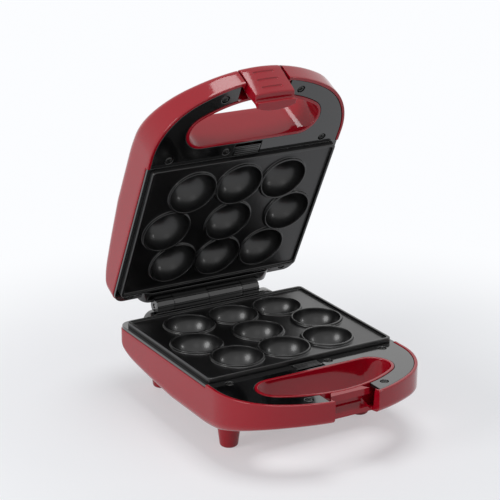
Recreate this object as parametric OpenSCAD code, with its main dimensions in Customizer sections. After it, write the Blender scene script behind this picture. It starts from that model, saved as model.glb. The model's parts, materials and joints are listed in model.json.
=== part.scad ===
// Cake pop maker: a countertop cooker with two hinged halves. Each half is a lofted housing that carries
// a black deck, a non-stick plate with nine half-round cups and a heating element. The lid stands part
// open, as such a cooker does while it is filled, and a latch on its handle hooks under the base's handle.
//
// Both halves are drawn in one half frame: the parting plane is z = 0, the hinge axis lies in it, the
// plate's centre is the origin, the handle is towards -Y and the half's own body is below the plane.
// The base stays as drawn and the lid is turned over about Y, then opened about the hinge.

/* [Plates] */
// Depth of a plate
plate_d = 139; // [136:1:144]
// Distance from a plate's side to the housing's side
plate_side = 4; // [3.6:0.1:5]
// Gap between the two plates' rims when the lid is shut
plate_gap = 1.6; // [0.8:0.1:2.4]
// Thickness of a plate's cast wall
plate_t = 1.8; // [1.4:0.1:2.2]
// Width of the raised rim round a plate
plate_rim_w = 2.4; // [2:0.1:3.2]
// Height of the raised rim over the plate's field
plate_rim_h = 2; // [1.4:0.1:2.4]
// Height of a plate's outer side
plate_skirt_h = 4.4; // [4:0.1:5]
// Radius of a plate's corners in plan
plate_corner_r = 3.5; // [2:0.5:6]

/* [Cups] */
// Inside diameter of a cup
cup_d = 40; // [36:0.5:40]
// Thickness of a cup's wall
cup_wall = 1.6; // [1.2:0.1:2]
// Distance from the middle row of cups to the front and back rows
row_pitch = 39.2; // [38.6:0.1:40.2]
// How much further out the middle cup of the front and back rows sits
row_bulge = 1.4; // [0.8:0.1:2]
// Distance between cups in the front and back rows
outer_pitch = 42.4; // [41:0.1:44]
// Distance from the end cups of the middle row to the plate's side
end_cup_gap = 6.2; // [5.4:0.1:8]

/* [Housings] */
// Width of a housing
body_w = 178; // [175:1:182]
// Distance from the plate's back edge to the back of a housing
back_gap = 10.5; // [9.5:0.5:12]
// Distance from the back of the hand opening to the front of the handle
handle_l = 61.2; // [60:0.2:63]
// Thickness of a housing's wall
wall = 2.6; // [2.2:0.1:3]
// Plan radius of the handle's front
front_r = 118; // [112:1:124]
// Plan radius of the front corners
corner_r = 59; // [56:1:62]
// Plan radius of the back corners
back_corner_r = 11; // [10.5:0.5:12]
// Depth of a housing below the parting plane, under the plate
body_depth = 41.5; // [40.5:0.5:43]
// Depth of a housing at the front of the handle
handle_depth = 23; // [22:0.5:24]
// Depth of a housing at its back wall
back_depth = 21.5; // [20.5:0.5:23]
// Radius of the shoulder between a housing's wall and its broad face
shoulder_r = 10; // [8.5:0.5:10]
// Radius of that shoulder at the handle
handle_shoulder_r = 5; // [4:0.5:6]
// Radius of that shoulder at the back
back_shoulder_r = 8; // [6:0.5:9]
// Rise of the broad face's crown
crown_h = 2.5; // [1.5:0.5:3.5]
// Depth of the rim round the handle below the parting plane
rim_drop = 4.6; // [4.2:0.1:5]
// Depth of the lower wall top beside the plate
side_drop = 7.6; // [7.4:0.1:8]

/* [Handle] */
// Width of the handle bar in front of the hand opening, in plan
handle_bar_w = 19.5; // [18.5:0.5:20.5]
// Distance from the plate's front edge to the hand opening
opening_gap = 17.8; // [17.3:0.1:18.5]
// Radius of the hand opening's two ends
opening_end_r = 14.7; // [14:0.1:16]
// Width of the latch gap in the handle
latch_gap_w = 40; // [39:0.5:42]
// Depth of the latch gap, from the front of the handle to the bar behind it
latch_gap_d = 12; // [11.5:0.1:12.4]
// Depth of the bar's catching edge below the parting plane
bar_edge = 10.2; // [9.8:0.1:10.6]

/* [Decks] */
// Thickness of a deck
deck_t = 2.4; // [2:0.1:2.8]
// Step of the deck's top below the housing's rim
deck_step = 0.4; // [0.2:0.1:0.8]
// Gap between a deck and the walls that it drops between
deck_gap = 0.4; // [0.3:0.1:0.6]
// Width of the ledge that a plate's edge stands on
ledge_w = 5.5; // [4.5:0.5:6]
// Distance from a housing's side to the deck's side screws
side_screw_gap = 18.1; // [17:0.1:19]
// Distance from the hand opening to the row of screws behind it
screw_row_gap = 10.8; // [10.4:0.1:11.3]
// Half the distance between the screws beside the latch gap
tip_screw_x = 34.3; // [33:0.1:36]
// Distance from the handle's front to the screws beside the latch gap
tip_screw_gap = 16.2; // [15.6:0.1:16.8]
// Distance of the middle screw from the centre line
mid_screw_x = 19.2; // [18.8:0.1:20]
// Diameter of the screws
screw_d = 3; // [2.6:0.1:3.2]
// Diameter of a screw's head
screw_head_d = 6.2; // [5.8:0.1:6.4]
// Height of a screw's head
screw_head_h = 1.5; // [1.3:0.1:1.7]
// Length of the deck's screws
screw_l = 9.5; // [8.5:0.5:10]

/* [Hinge] */
// Distance from the back of a housing to the hinge axis
hinge_gap = 6.9; // [6.9:0.1:7.4]
// Radius of the hinge knuckles
knuckle_r = 6.5; // [6:0.1:6.8]
// Length of the hinge
hinge_l = 100; // [96:1:102]
// Distance between the outer joints of the knuckles
knuckle_span = 67; // [64:1:70]
// Diameter of the hinge pin
hinge_pin_d = 4; // [3.6:0.1:4.4]
// Distance from a housing's side to the block that carries the knuckles
block_gap = 26; // [25:0.5:28]
// Depth of that block below the parting plane
hinge_block_depth = 13.6; // [13:0.1:14]
// Angle between the parting planes, as the lid stands
lid_open = 63.4; // [50:0.1:75]

/* [Latch] */
// Width of the latch
latch_w = 36; // [34:0.5:36.5]
// Thickness of the latch's grip
latch_t = 4; // [3.6:0.1:4.4]
// Height of the latch's top over the parting plane
latch_top = 22.8; // [22:0.1:23]
// Radius of the grip's top edge
latch_edge_r = 4.8; // [4:0.1:5.2]
// Depth of the latch's crease below the parting plane
crease_drop = 7.5; // [6.5:0.5:8]
// How far the latch's front is drawn in at the crease
crease_in = 2.6; // [2.2:0.1:3]
// How much narrower the hook is at each side
hook_taper = 0.8; // [0.4:0.1:1.4]
// Length of the grooves across the grip
groove_l = 17; // [14:0.5:20]
// Distance between those grooves
groove_pitch = 8; // [7:0.5:8]
// Radius of those grooves
groove_r = 1.1; // [0.8:0.1:1.2]
// Height of the latch pin over the parting plane
latch_pin_up = 15; // [14:0.5:15.5]
// Diameter of the latch pin
latch_pin_d = 3; // [2.6:0.1:3.2]
// How far the middle of the hook reaches under the bar's edge
hook_reach = 4; // [3.4:0.1:4.2]
// How much further back the ends of the hook's lip stand than its middle
lip_bow = 3; // [2.4:0.1:3]
// Thickness of the hook's lip
hook_t = 2.6; // [2.2:0.1:3]

/* [Plate catches] */
// Width of a catch's ribbed pad
catch_w = 24; // [20:0.5:24]
// Depth of a catch's ribbed pad
catch_d = 9.2; // [8.8:0.1:9.4]
// Travel of a catch
catch_travel = 2.8; // [2.4:0.1:3]
// Width of a catch's tongue
tongue_w = 12; // [10:0.5:13]
// Thickness of a catch's tongue
tongue_t = 1.4; // [1.2:0.1:1.6]

/* [Feet] */
// Distance from a housing's side to the front feet
front_foot_side = 27.2; // [26:0.2:29]
// Distance from a housing's side to the back feet
back_foot_side = 36; // [34:0.5:38]
// Distance from the plate's front edge to the front feet
front_foot_gap = 9.7; // [8.5:0.1:11]
// Distance from the back of a housing to the back feet
back_foot_gap = 10.6; // [10.4:0.1:13]
// Diameter of a foot at its top
foot_top_d = 20; // [18.5:0.5:20]
// Diameter of a foot near its bottom
foot_end_d = 15; // [14:0.1:16]
// Radius of the edge round a foot's bottom
foot_edge_r = 2.4; // [2:0.1:2.8]
// Length of a foot
foot_l = 22; // [20:0.5:24]
// Length of the pads that the feet stand against, below the housing's broad face
foot_pad_l = 2.4; // [2:0.1:3]
// Depth of the bore for a foot's screw head
foot_bore = 8; // [7:0.5:9]
// Length of the feet's screws
foot_screw_l = 26; // [24:0.5:27]

/* [Heating] */
// Diameter of the heating tube
element_d = 6.5; // [6:0.1:7]
// Distance from the centre line to each leg of the heating tube
element_y = 20; // [19.6:0.1:20.4]
// Depth of the heating tube below the parting plane
element_drop = 19.6; // [19.2:0.1:20]
// Depth of the reflector's floor below the parting plane
reflector_drop = 27.4; // [27:0.1:28]
// Thickness of the reflector's sheet
reflector_t = 0.8; // [0.6:0.1:1]

/* [Fittings under the reflector] */
// Diameter of the thermostat
thermostat_d = 16; // [14:0.5:18]
// Distance between the thermostat's tabs
tab_pitch = 8; // [7:0.5:9]
// Width of a flat tab
tab_w = 4.8; // [4.4:0.1:5.2]
// Thickness of a flat tab
tab_t = 0.8; // [0.6:0.1:1]
// Diameter of the thermal fuse
fuse_d = 4; // [3.6:0.1:4.4]
// Length of the thermal fuse
fuse_l = 12; // [10:0.5:13]
// Length of the fuse with its two leads
fuse_lead_l = 32; // [28:1:36]
// Width of the terminal block
block_w = 24; // [22:0.5:26]
// Depth of the terminal block
block_d = 12; // [11:0.5:13]

/* [Cord inlet] */
// Radius of the hole for the cord's bush
inlet_r = 4.2; // [4:0.1:4.4]
// Length of that hole
inlet_l = 12; // [10:0.5:12.5]
// Depth of the cord inlet below the parting plane
inlet_drop = 27; // [26.5:0.1:27.5]

/* [Lenses] */
// Diameter of the two indicator lenses on the lid
lens_d = 7; // [5:0.5:8]
// Distance between the two lenses
lens_pitch = 24; // [20:0.5:26]
// Distance from the screws' row to the lenses
lens_gap = 11.5; // [11:0.5:13]
// Thickness of the lamps' board
board_t = 1.6; // [1.4:0.1:1.8]
// Depth of the lamps' board
board_d = 12; // [10:0.5:13]
// Distance from a lens to the end of the board
board_end = 12; // [11:0.5:13]

/* [Hidden] */
$fn = 48;

// Colours of the finishes
red = "#a8152d";
black = "#1d1e20";
coating = "#2c2d30";
steel = "#b9bcc0";
tin = "#d2d4d6";
ceramic = "#e6e1d6";
amber = "#d9952a";
green = "#3f9b54";

// Small clearance between a hole and the screw or pin fixed in it
fixed_fit = 0.02;
// Clearance between a hinge pin and the knuckle that turns on it
running_fit = 0.05;
// Gap between parts that slide past each other
slide_gap = 0.3;
// Overshoot of a cut past the face it opens
over = 1;

// The housing's outline and the plate, from the sizes above
half_w = body_w / 2;
plate_w = body_w - 2 * plate_side;
body_back = plate_d / 2 + back_gap;
opening_back = plate_d / 2 + opening_gap;
body_front = opening_back + handle_l;
hinge_back = body_back + hinge_gap;
hinge_half = hinge_l / 2;
knuckle_half = knuckle_span / 2;
hinge_block_half = half_w - block_gap;
front_centre_y = front_r - body_front;
bar_y = -body_front + latch_gap_d;

// The plate and the deck
plate_top = -plate_gap / 2;
field_z = plate_top - plate_rim_h;
seat_z = plate_top - plate_skirt_h;
step_y = -plate_d / 2 - 1;
deck_top = -rim_drop - deck_step;
deck_under = -side_drop;
cup_r = cup_d / 2;
cup_outer_r = cup_r + cup_wall;
middle_pitch = plate_w / 2 - end_cup_gap - cup_outer_r;
screw_r = screw_d / 2;
screw_head_r = screw_head_d / 2;
screw_pilot_l = screw_l + 1.5;
boss_r = screw_r + 2;
deck_screw_x = half_w - side_screw_gap;
deck_screw_y = opening_back - screw_row_gap;
tip_screw_y = body_front - tip_screw_gap;

// Where a catch, its rails, its springs and the plate's keeper and lugs stand
catch_y0 = step_y + 0.4;
catch_y1 = step_y - catch_d - catch_travel - 0.4;
catch_z = -side_drop - slide_gap;
rail_t = 1.5;
rail_x = catch_w / 2 + 1.7;
keeper_half = tongue_w / 2 + 3;
keeper_y = -plate_d / 2 + 1.3;
tongue_y = keeper_y + 2.4;
spring_x = 8.5;
spring_y = catch_y0 - 2.2;
lug_x = 34;
lug_half = 4;

// The lenses and the lamps' board
lens_y = -deck_screw_y + lens_gap;
board_x = lens_pitch / 2 + board_end - 4;
board_drop = body_depth - 13.5;

// The feet, which stand in from the housing's sides
front_foot_x = half_w - front_foot_side;
back_foot_x = half_w - back_foot_side;
front_foot_y = -plate_d / 2 + front_foot_gap;
back_foot_y = body_back - back_foot_gap;
foot_z = -body_depth - foot_pad_l;
parting_h = foot_l - foot_z;
feet = [
    [-front_foot_x, front_foot_y], [front_foot_x, front_foot_y],
    [-back_foot_x, back_foot_y], [back_foot_x, back_foot_y]
];

// The room between the reflector and the broad face, and the cord inlet behind it
under_room = body_depth - reflector_drop;
inlet_y = body_back - 0.5;

// The latch, as it stands on the shut cooker, and its pin
latch_out = -body_front + 0.1;
latch_pin_y = -body_front + 6.5;
latch_pin_half = latch_gap_w / 2 + wall;
hook_z = -bar_edge - slide_gap - hook_t;
crease_z = -crease_drop;

// The knuckles of a half: the other half's are these turned over
knuckles = [[-hinge_half, -knuckle_half - 0.2], [0.2, knuckle_half - 0.2]];

// The places of the nine cups
cups = concat(
    [for (i = [-1:1]) [i * middle_pitch, 0]],
    [for (s = [-1, 1]) for (i = [-1:1]) [i * outer_pitch, s * (row_pitch + (i == 0 ? row_bulge : 0))]]
);

// The places of the deck's screws, those in front first
deck_screws = [
    [-deck_screw_x, -deck_screw_y], [deck_screw_x, -deck_screw_y], [mid_screw_x, -deck_screw_y],
    [-tip_screw_x, -tip_screw_y], [tip_screw_x, -tip_screw_y]
];
back_screws = [for (s = [-1, 1]) [s * (half_w - 13.5), plate_d / 2 + 4.2]];

// A smooth step from 0 to 1
function smooth(t) = let (c = min(max(t, 0), 1)) c * c * (3 - 2 * c);

// Points along an arc
function arc(c, r, a0, a1, n) = [
    for (i = [0:n]) let (a = a0 + (a1 - a0) * i / n) [c[0] + r * cos(a), c[1] + r * sin(a)]
];

// Where the handle begins to grow thinner, and over what length it does so
taper_start = 60;
taper_l = body_front + 6.5 - taper_start;

// Depth of a housing's broad face below the parting plane at a distance y behind the plate's centre
function face_depth(y) =
    let (t = max((y + 10) / (body_back + 10), 0))
    body_depth - (body_depth - handle_depth) * smooth((-y - taper_start) / taper_l)
        - (body_depth - back_depth) * (0.4 * t + 0.6 * pow(t, 6));

// Radius of the shoulder at y
function shoulder(y) =
    shoulder_r - (shoulder_r - handle_shoulder_r) * smooth((-y - taper_start) / taper_l)
        - (shoulder_r - back_shoulder_r) * smooth((y - body_back + 40) / 30);

// Half of a housing's outline from the front's middle to the back corner, as points with their normals:
// the front arc, the corner arc, the straight side and the back corner arc
corner_x = half_w - corner_r;
corner_a = acos(corner_x / (front_r - corner_r));
corner_y = front_centre_y - sqrt(pow(front_r - corner_r, 2) - pow(corner_x, 2));
side_y1 = body_back - back_corner_r;
front_n = 6;
corner_n = 9;
side_n = 7;
back_n = 5;
cross_n = 8;
function ray(c, r, a) = [c[0] + r * cos(a), c[1] + r * sin(a), cos(a), sin(a)];
half_outline = concat(
    [for (i = [0:front_n - 1]) ray([0, front_centre_y], front_r, -90 + (90 - corner_a) * i / front_n)],
    [for (i = [0:corner_n]) ray([corner_x, corner_y], corner_r, -corner_a * (1 - i / corner_n))],
    [for (i = [1:side_n]) [half_w, corner_y + (side_y1 - corner_y) * i / side_n, 1, 0]],
    [for (i = [1:back_n]) ray([half_w - back_corner_r, side_y1], back_corner_r, 90 * i / back_n)]
);
pairs = len(half_outline) - 1;
outline = concat(
    half_outline,
    [for (j = [1:cross_n - 1]) [(half_w - back_corner_r) * (1 - 2 * j / cross_n), body_back, 0, 1]],
    [for (i = [0:pairs - 1]) let (p = half_outline[pairs - i]) [-p[0], p[1], -p[2], p[3]]]
);
outline_n = len(outline);

// The middle of the broad face, from the handle to the back, as points of y and z
face_edge = skin_ring(0, 90);
middle = [for (i = [1:pairs]) let (e = face_edge[i]) [e[1], e[2] - crown(e, 0)]];

// The box round the whole object, at rest, is centred on the origin: its front is the base's handle beside
// the latch gap and its back is the open lid's broad face
front_reach = -lookup(latch_gap_w / 2, [for (i = [0:front_n]) [half_outline[i][0], half_outline[i][1]]]);
lid_reach = max([for (p = middle) (p[0] - hinge_back) * cos(lid_open) - p[1] * sin(lid_open)]);
plate_back = (front_reach - hinge_back - lid_reach) / 2;

// Rise of the crown at x in the row that starts at a point of the face's edge
function crown(e, x) =
    crown_h * smooth((body_back - back_shoulder_r - e[1]) / 30) * (pow(e[0], 2) - pow(x, 2)) / pow(half_w, 2);

// One ring of a housing's skin: at its wall, k = 0, or round the shoulder at angle a
function skin_ring(inset, a) = [
    for (p = outline)
        let (r = shoulder(p[1]) - inset, d = inset + r * (1 - cos(a)))
        [p[0] - p[2] * d, p[1] - p[3] * d, inset + r * (1 - sin(a)) - face_depth(p[1])]
];

// The lofted form inside a housing's outline: straight walls, a round shoulder and a crowned face
module skin(inset, top, steps) {
    rings = concat(
        [[for (p = outline) [p[0] - p[2] * inset, p[1] - p[3] * inset, top]]],
        [for (k = [0:steps]) skin_ring(inset, 90 * k / steps)]
    );
    last = rings[len(rings) - 1];
    crown = [
        for (i = [1:pairs - 1]) for (j = [1:cross_n - 1])
            let (e = last[i], x = e[0] * (1 - 2 * j / cross_n)) [x, e[1], e[2] - crown(e, x)]
    ];
    n = outline_n;
    m = len(rings);
    base = (m - 1) * n;
    function at(i, j) = i == 0 ? base
        : j == 0 ? base + i
        : j == cross_n ? base + n - i
        : i == pairs ? base + pairs + j
        : m * n + (i - 1) * (cross_n - 1) + j - 1;
    polyhedron(
        points = concat([for (r = rings) each r], crown),
        faces = concat(
            [[for (i = [0:n - 1]) n - 1 - i]],
            [for (k = [0:m - 2]) for (i = [0:n - 1]) let (a = k * n + i, b = k * n + (i + 1) % n)
                each [[a, b, b + n], [a, b + n, a + n]]],
            [for (j = [0:cross_n - 1]) [base, at(1, j), at(1, j + 1)]],
            [for (i = [1:pairs - 1]) for (j = [0:cross_n - 1]) each
                [[at(i, j), at(i + 1, j), at(i + 1, j + 1)], [at(i, j), at(i + 1, j + 1), at(i, j + 1)]]]
        ),
        convexity = 6
    );
}

// A housing's outline drawn in by d, as a flat shape
module plan(d) polygon([for (p = outline) [p[0] - p[2] * d, p[1] - p[3] * d]]);

// The hand opening, grown by g: a front arc that runs beside the handle's front, and two round ends
module hand_opening(g) {
    r = opening_end_r + g;
    big = front_r - handle_bar_w + g;
    cy = -opening_back - opening_end_r;
    cx = sqrt(pow(big - r, 2) - pow(cy - front_centre_y, 2));
    a = atan2(cy - front_centre_y, cx);
    polygon(concat(
        arc([0, front_centre_y], big, -180 - a, a, 16),
        arc([cx, cy], r, a, 90, 9),
        arc([-cx, cy], r, 90, 180 - a, 9)
    ));
}

// The latch gap, grown by g to the sides and to the back
module latch_gap(g) translate([-latch_gap_w / 2 - g, -body_front - latch_gap_d])
    square([latch_gap_w + 2 * g, 2 * latch_gap_d + g]);

// A prism from z0 up to z1
module prism(z0, z1) translate([0, 0, z0]) linear_extrude(z1 - z0) children();

// A cylinder along X from x0 to x1 at y and z
module rod(x0, x1, y, z, r) translate([x0, y, z]) rotate([0, 90, 0]) cylinder(h = x1 - x0, r = r);

// What stands inside a housing: the walls round the hand opening and the latch gap, and the screws' bosses
module housing_ribs() {
    prism(-body_depth - over, over) {
        hand_opening(wall);
        latch_gap(wall);
        translate([-latch_gap_w / 2 - wall, bar_y])
            square([latch_gap_w + 2 * wall, handle_bar_w - latch_gap_d + over]);
    }
    for (p = deck_screws) post(p, boss_r, deck_top - deck_t);
    for (p = back_screws) post(p, boss_r, -side_drop);
}

// A post that stands on a housing's floor and reaches up to z
module post(p, r, z) translate([p[0], p[1], -body_depth - crown_h])
    cylinder(h = body_depth + crown_h + z, r = r);

// The cut that takes a housing's wall down beside the plate, and the seat of the hinge block behind it
module low_wall_cut() {
    translate([-body_w, step_y, -side_drop]) cube([2 * body_w, body_w, body_depth]);
    translate([-hinge_block_half - deck_gap, body_back - back_corner_r, -hinge_block_depth - deck_gap])
        cube([2 * (hinge_block_half + deck_gap), body_w, body_depth]);
}

// A housing without the features that only the base or only the lid has; its children are further posts
module housing_body() {
    difference() {
        skin(0, -rim_drop, 4);
        difference() {
            skin(wall, over, 3);
            housing_ribs();
            children();
        }
        prism(-body_depth - 2 * crown_h, over) {
            hand_opening(0);
            latch_gap(0);
        }
        low_wall_cut();
        for (p = deck_screws) translate([0, 0, deck_top]) screw_pilot(p);
        for (p = back_screws) translate([0, 0, seat_z]) screw_pilot(p);
    }
}

// The hole that a screw of the deck is driven into
module screw_pilot(p) translate([p[0], p[1], -screw_pilot_l])
    cylinder(h = screw_pilot_l, r = screw_r + fixed_fit);

module lower_housing() color(red) place_base() difference() {
    union() {
        housing_body() for (p = feet) post(p, 5, -reflector_drop - 3.6);
        for (p = feet) translate([p[0], p[1], foot_z])
            cylinder(h = foot_pad_l + body_depth - face_depth(p[1]) + wall / 2, r = foot_top_d / 2);
        translate([0, inlet_y, -inlet_drop]) rotate([90, 0, 0]) cylinder(h = inlet_l, r = inlet_r + wall);
    }
    // The undercut that leaves a catching edge for the latch's hook
    across(latch_gap_w) polygon([
        [-body_front, -bar_edge], [bar_y + hook_reach + over, -bar_edge],
        [bar_y + hook_reach + over, -bar_edge - 2 * hook_t], [bar_y, -bar_edge - 4 * hook_t],
        [-body_front, -bar_edge - 4 * hook_t]
    ]);
    for (p = feet) translate([p[0], p[1], foot_z - over])
        cylinder(h = foot_screw_l - foot_l + foot_bore + over, r = screw_r + fixed_fit);
    translate([0, inlet_y + over, -inlet_drop]) rotate([90, 0, 0])
        cylinder(h = inlet_l + 2 * over, r = inlet_r);
}

module upper_housing() color(red) place_lid() difference() {
    housing_body() for (s = [-1, 1]) post([s * board_x, lens_y], 2.5, -board_drop - board_t);
    for (s = [-1, 1]) translate([s * lens_pitch / 2, lens_y, -body_depth - 2 * crown_h])
        cylinder(h = body_depth, r = lens_d / 2);
    rod(-latch_pin_half, latch_pin_half, latch_pin_y, -latch_pin_up, latch_pin_d / 2 + fixed_fit);
}

// Where the base and the lid stand
module place_base() translate([0, plate_back, parting_h]) children();
module place_lid() translate([0, plate_back + hinge_back, parting_h]) rotate([-lid_open, 0, 0])
    translate([0, -hinge_back, 0]) rotate([0, 180, 0]) children();

// A deck: the horseshoe round the hand opening, the ledge under the plate's edge, the hinge block and the
// rails that a catch slides on
module deck_body() {
    difference() {
        union() {
            prism(deck_top - deck_t, deck_top) difference() {
                intersection() {
                    plan(wall + deck_gap);
                    translate([-body_w, step_y + 0.5 - 2 * body_w]) square(2 * body_w);
                }
                hand_opening(wall + deck_gap);
                translate([-latch_gap_w / 2 - wall - deck_gap, -2 * body_front - opening_back])
                    square([latch_gap_w + 2 * (wall + deck_gap), 2 * body_front]);
            }
            prism(-side_drop, seat_z) difference() {
                intersection() {
                    plan(0.8);
                    translate([-body_w, step_y + deck_gap]) square(2 * body_w);
                }
                square([plate_w - 2 * ledge_w, plate_d - 2 * ledge_w], center = true);
            }
            hinge_block();
            for (s = [-1, 1]) translate([s * (rail_x + rail_t / 2), 0, 0]) catch_rail(-s);
        }
        // The catch's window, and the notch that lets the plate's keeper down to the catch's tongue
        translate([0, (catch_y0 + catch_y1) / 2, deck_top])
            cube([catch_w + 2 * deck_gap, catch_y0 - catch_y1, 4 * deck_t], center = true);
        translate([-keeper_half - 0.5, keeper_y - 0.5, deck_top - 2 * deck_t])
            cube([2 * keeper_half + 1, 2 * ledge_w, 4 * deck_t]);
        for (s = [-1, 1])
            translate([s * lug_x - lug_half - 0.5, plate_d / 2 - ledge_w - 0.2, deck_top - 2 * deck_t])
                cube([2 * lug_half + 1, 1.2, 4 * deck_t]);
        for (p = deck_screws) screw_hole(p, deck_top);
        for (p = back_screws) screw_hole(p, seat_z);
    }
}

// A rail under the deck, with a lip that the catch's foot plate rests on; s points to the lip's side
module catch_rail(s) translate([0, catch_y0, 0]) rotate([90, 0, 0]) linear_extrude(catch_y0 - catch_y1 + 1.5)
    union() {
        translate([-rail_t / 2, catch_z - 2.6]) square([rail_t, deck_under - catch_z + 3]);
        translate([s > 0 ? -rail_t / 2 : -rail_t / 2 - 0.9, catch_z - 2.6]) square([rail_t + 0.9, 0.9]);
    }

// The block behind the plate with its two knuckles, rounded at its top corners
module hinge_block() {
    y0 = plate_d / 2 + 2.5;
    y1 = body_back + 3;
    difference() {
        translate([0, y1, 0]) rotate([90, 0, 0]) linear_extrude(y1 - y0) block_face();
        for (k = knuckles) rod(-k[1] - 0.5, -k[0] + 0.5, hinge_back, 0, knuckle_r + 0.6);
    }
    for (k = knuckles) translate([k[0], 0, 0]) rotate([90, 0, 90]) linear_extrude(k[1] - k[0]) difference() {
        union() {
            translate([hinge_back, 0]) circle(knuckle_r);
            translate([y1 - over, -knuckle_r]) square([hinge_back - y1 + over, knuckle_r - 0.5]);
        }
        translate([hinge_back, 0]) circle(hinge_pin_d / 2 + running_fit);
    }
}

module block_face() {
    r = 0.66 * hinge_block_depth;
    w = hinge_block_half;
    h = hinge_block_depth;
    translate([-w, -h]) square([2 * w, h - 1 - r]);
    translate([-w + r, -h]) square([2 * (w - r), h - 1]);
    for (s = [-1, 1]) intersection() {
        translate([s * (w - r), -1 - r]) circle(r);
        translate([-body_w, -h]) square([2 * body_w, h]);
    }
}

module lower_deck() color(black) place_base() deck_body();
module upper_deck() color(black) place_lid() deck_body();

module screw_hole(p, z) {
    translate([p[0], p[1], z - screw_head_h - 0.2]) cylinder(h = screw_head_h + over, r = screw_head_r + 0.3);
    translate([p[0], p[1], z - screw_l]) cylinder(h = screw_l, r = screw_r + 0.2);
}

// A screw with a cross recess in its head, pointing down from z
module screw(p, z, l) translate([p[0], p[1], z]) {
    r = screw_head_r;
    h = screw_head_h;
    difference() {
        translate([0, 0, -h]) cylinder(h = h, r = r);
        rotate([0, 0, 20]) for (a = [0, 90]) rotate([0, 0, a]) translate([-0.65 * r, -0.13 * r, -0.65 * h])
            cube([1.3 * r, 0.26 * r, 2 * h]);
    }
    translate([0, 0, -l]) cylinder(h = l - h, r = screw_r);
}

module deck_screw_set() {
    for (p = deck_screws) screw(p, deck_top - 0.2, screw_l);
    for (p = back_screws) screw(p, seat_z - 0.2, screw_l);
}
module lower_deck_screws() color(steel) place_base() deck_screw_set();
module upper_deck_screws() color(steel) place_lid() deck_screw_set();

// A cast plate: a raised rim, a sunk field, nine cups whose lips stand up to the rim, a keeper with a slot
// for the catch's tongue, and two lugs that hook under the deck's ledge at the back
module plate_body() {
    inner_w = plate_w - 2 * plate_rim_w;
    inner_d = plate_d - 2 * plate_rim_w;
    difference() {
        union() {
            difference() {
                prism(seat_z, plate_top) rounded(plate_w, plate_d, plate_corner_r);
                prism(field_z, over) rounded(inner_w, inner_d, plate_corner_r - 1);
                prism(seat_z - over, field_z - plate_t) rounded(inner_w, inner_d, plate_corner_r - 1);
            }
            intersection() {
                union() for (c = cups) translate([c[0], c[1], plate_top]) sphere(cup_outer_r);
                translate([-body_w, -body_w, plate_top - body_w]) cube([2 * body_w, 2 * body_w, body_w]);
            }
            plate_keeper();
            for (s = [-1, 1]) translate([s * lug_x - lug_half, 0, 0]) plate_lug();
        }
        for (c = cups) translate([c[0], c[1], plate_top]) sphere(cup_r);
    }
}

module plate_keeper() difference() {
    translate([-keeper_half, keeper_y, catch_z - 2.4])
        cube([2 * keeper_half, 2, field_z - plate_t / 2 - catch_z + 2.4]);
    translate([-tongue_w / 2 - slide_gap * 2, keeper_y - over, catch_z - tongue_t - slide_gap])
        cube([tongue_w + 4 * slide_gap, 2 + 2 * over, tongue_t + 2 * slide_gap]);
}

module plate_lug() {
    y1 = plate_d / 2 - ledge_w;
    translate([0, y1 - 3.2, catch_z - 1.6]) cube([2 * lug_half, 2, field_z - plate_t / 2 - catch_z + 1.6]);
    translate([0, y1 - 3.2, catch_z - 1.6]) cube([2 * lug_half, 5.6, 1.6]);
}

// A rectangle with rounded corners
module rounded(w, d, r) {
    square([w - 2 * r, d], center = true);
    square([w, d - 2 * r], center = true);
    for (i = [-1, 1]) for (j = [-1, 1]) translate([i * (w / 2 - r), j * (d / 2 - r)]) circle(r);
}

module lower_plate() color(coating) place_base() plate_body();
module upper_plate() color(coating) place_lid() plate_body();

// A heating tube: two legs, a bend round the end cup, and a pin and a tab at each end
module element_body() {
    r = element_d / 2;
    x0 = -middle_pitch - 10;
    x1 = middle_pitch - 2.5;
    for (s = [-1, 1]) {
        rod(x0, x1, s * element_y, -element_drop, r);
        rod(x0 - 5, x0 + 1, s * element_y, -element_drop, 1.2);
        translate([x0 - 8, s * element_y - tab_w / 2, -element_drop - tab_t / 2]) cube([4, tab_w, tab_t]);
    }
    translate([x1, 0, -element_drop]) rotate([0, 0, -90]) rotate_extrude(angle = 180)
        translate([element_y, 0]) circle(r);
}
module lower_element() color(steel) place_base() element_body();
module upper_element() color(steel) place_lid() element_body();

// Four clips that hold the heating tube to the reflector
module clip_set() for (x = [-0.7, 0.35]) for (s = [-1, 1])
    translate([x * middle_pitch, s * element_y, 0]) element_clip();
module element_clip() rotate([90, 0, 90]) linear_extrude(element_d, center = true) difference() {
    floor_z = -reflector_drop + reflector_t;
    union() {
        translate([0, -element_drop]) circle(element_d / 2 + reflector_t);
        translate([-2, floor_z]) square([4, -element_drop - floor_z]);
        translate([-element_d, floor_z]) square([2 * element_d, reflector_t]);
    }
    translate([0, -element_drop]) circle(element_d / 2 + fixed_fit);
}
module lower_element_clips() color(tin) place_base() clip_set();
module upper_element_clips() color(tin) place_lid() clip_set();

// A tray that throws the heat back at the plate; its side flanges are clamped under the deck
module reflector_body() {
    w = plate_w - 10;
    d = plate_d - 9;
    difference() {
        union() {
            prism(-reflector_drop, deck_under) rounded(w, d, 6);
            translate([-w / 2 - 2.5, -d / 4, deck_under - reflector_t]) cube([w + 5, d / 2, reflector_t]);
        }
        prism(-reflector_drop + reflector_t, over)
            rounded(w - 2 * reflector_t, d - 2 * reflector_t, 6 - reflector_t);
        for (s = [-1, 1]) translate([s * lug_x - lug_half - 1, d / 2 - 2, catch_z - 2.4])
            cube([2 * lug_half + 2, 4, body_depth]);
    }
}
module lower_reflector() color(tin) place_base() reflector_body();
module upper_reflector() color(tin) place_lid() reflector_body();

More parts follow.
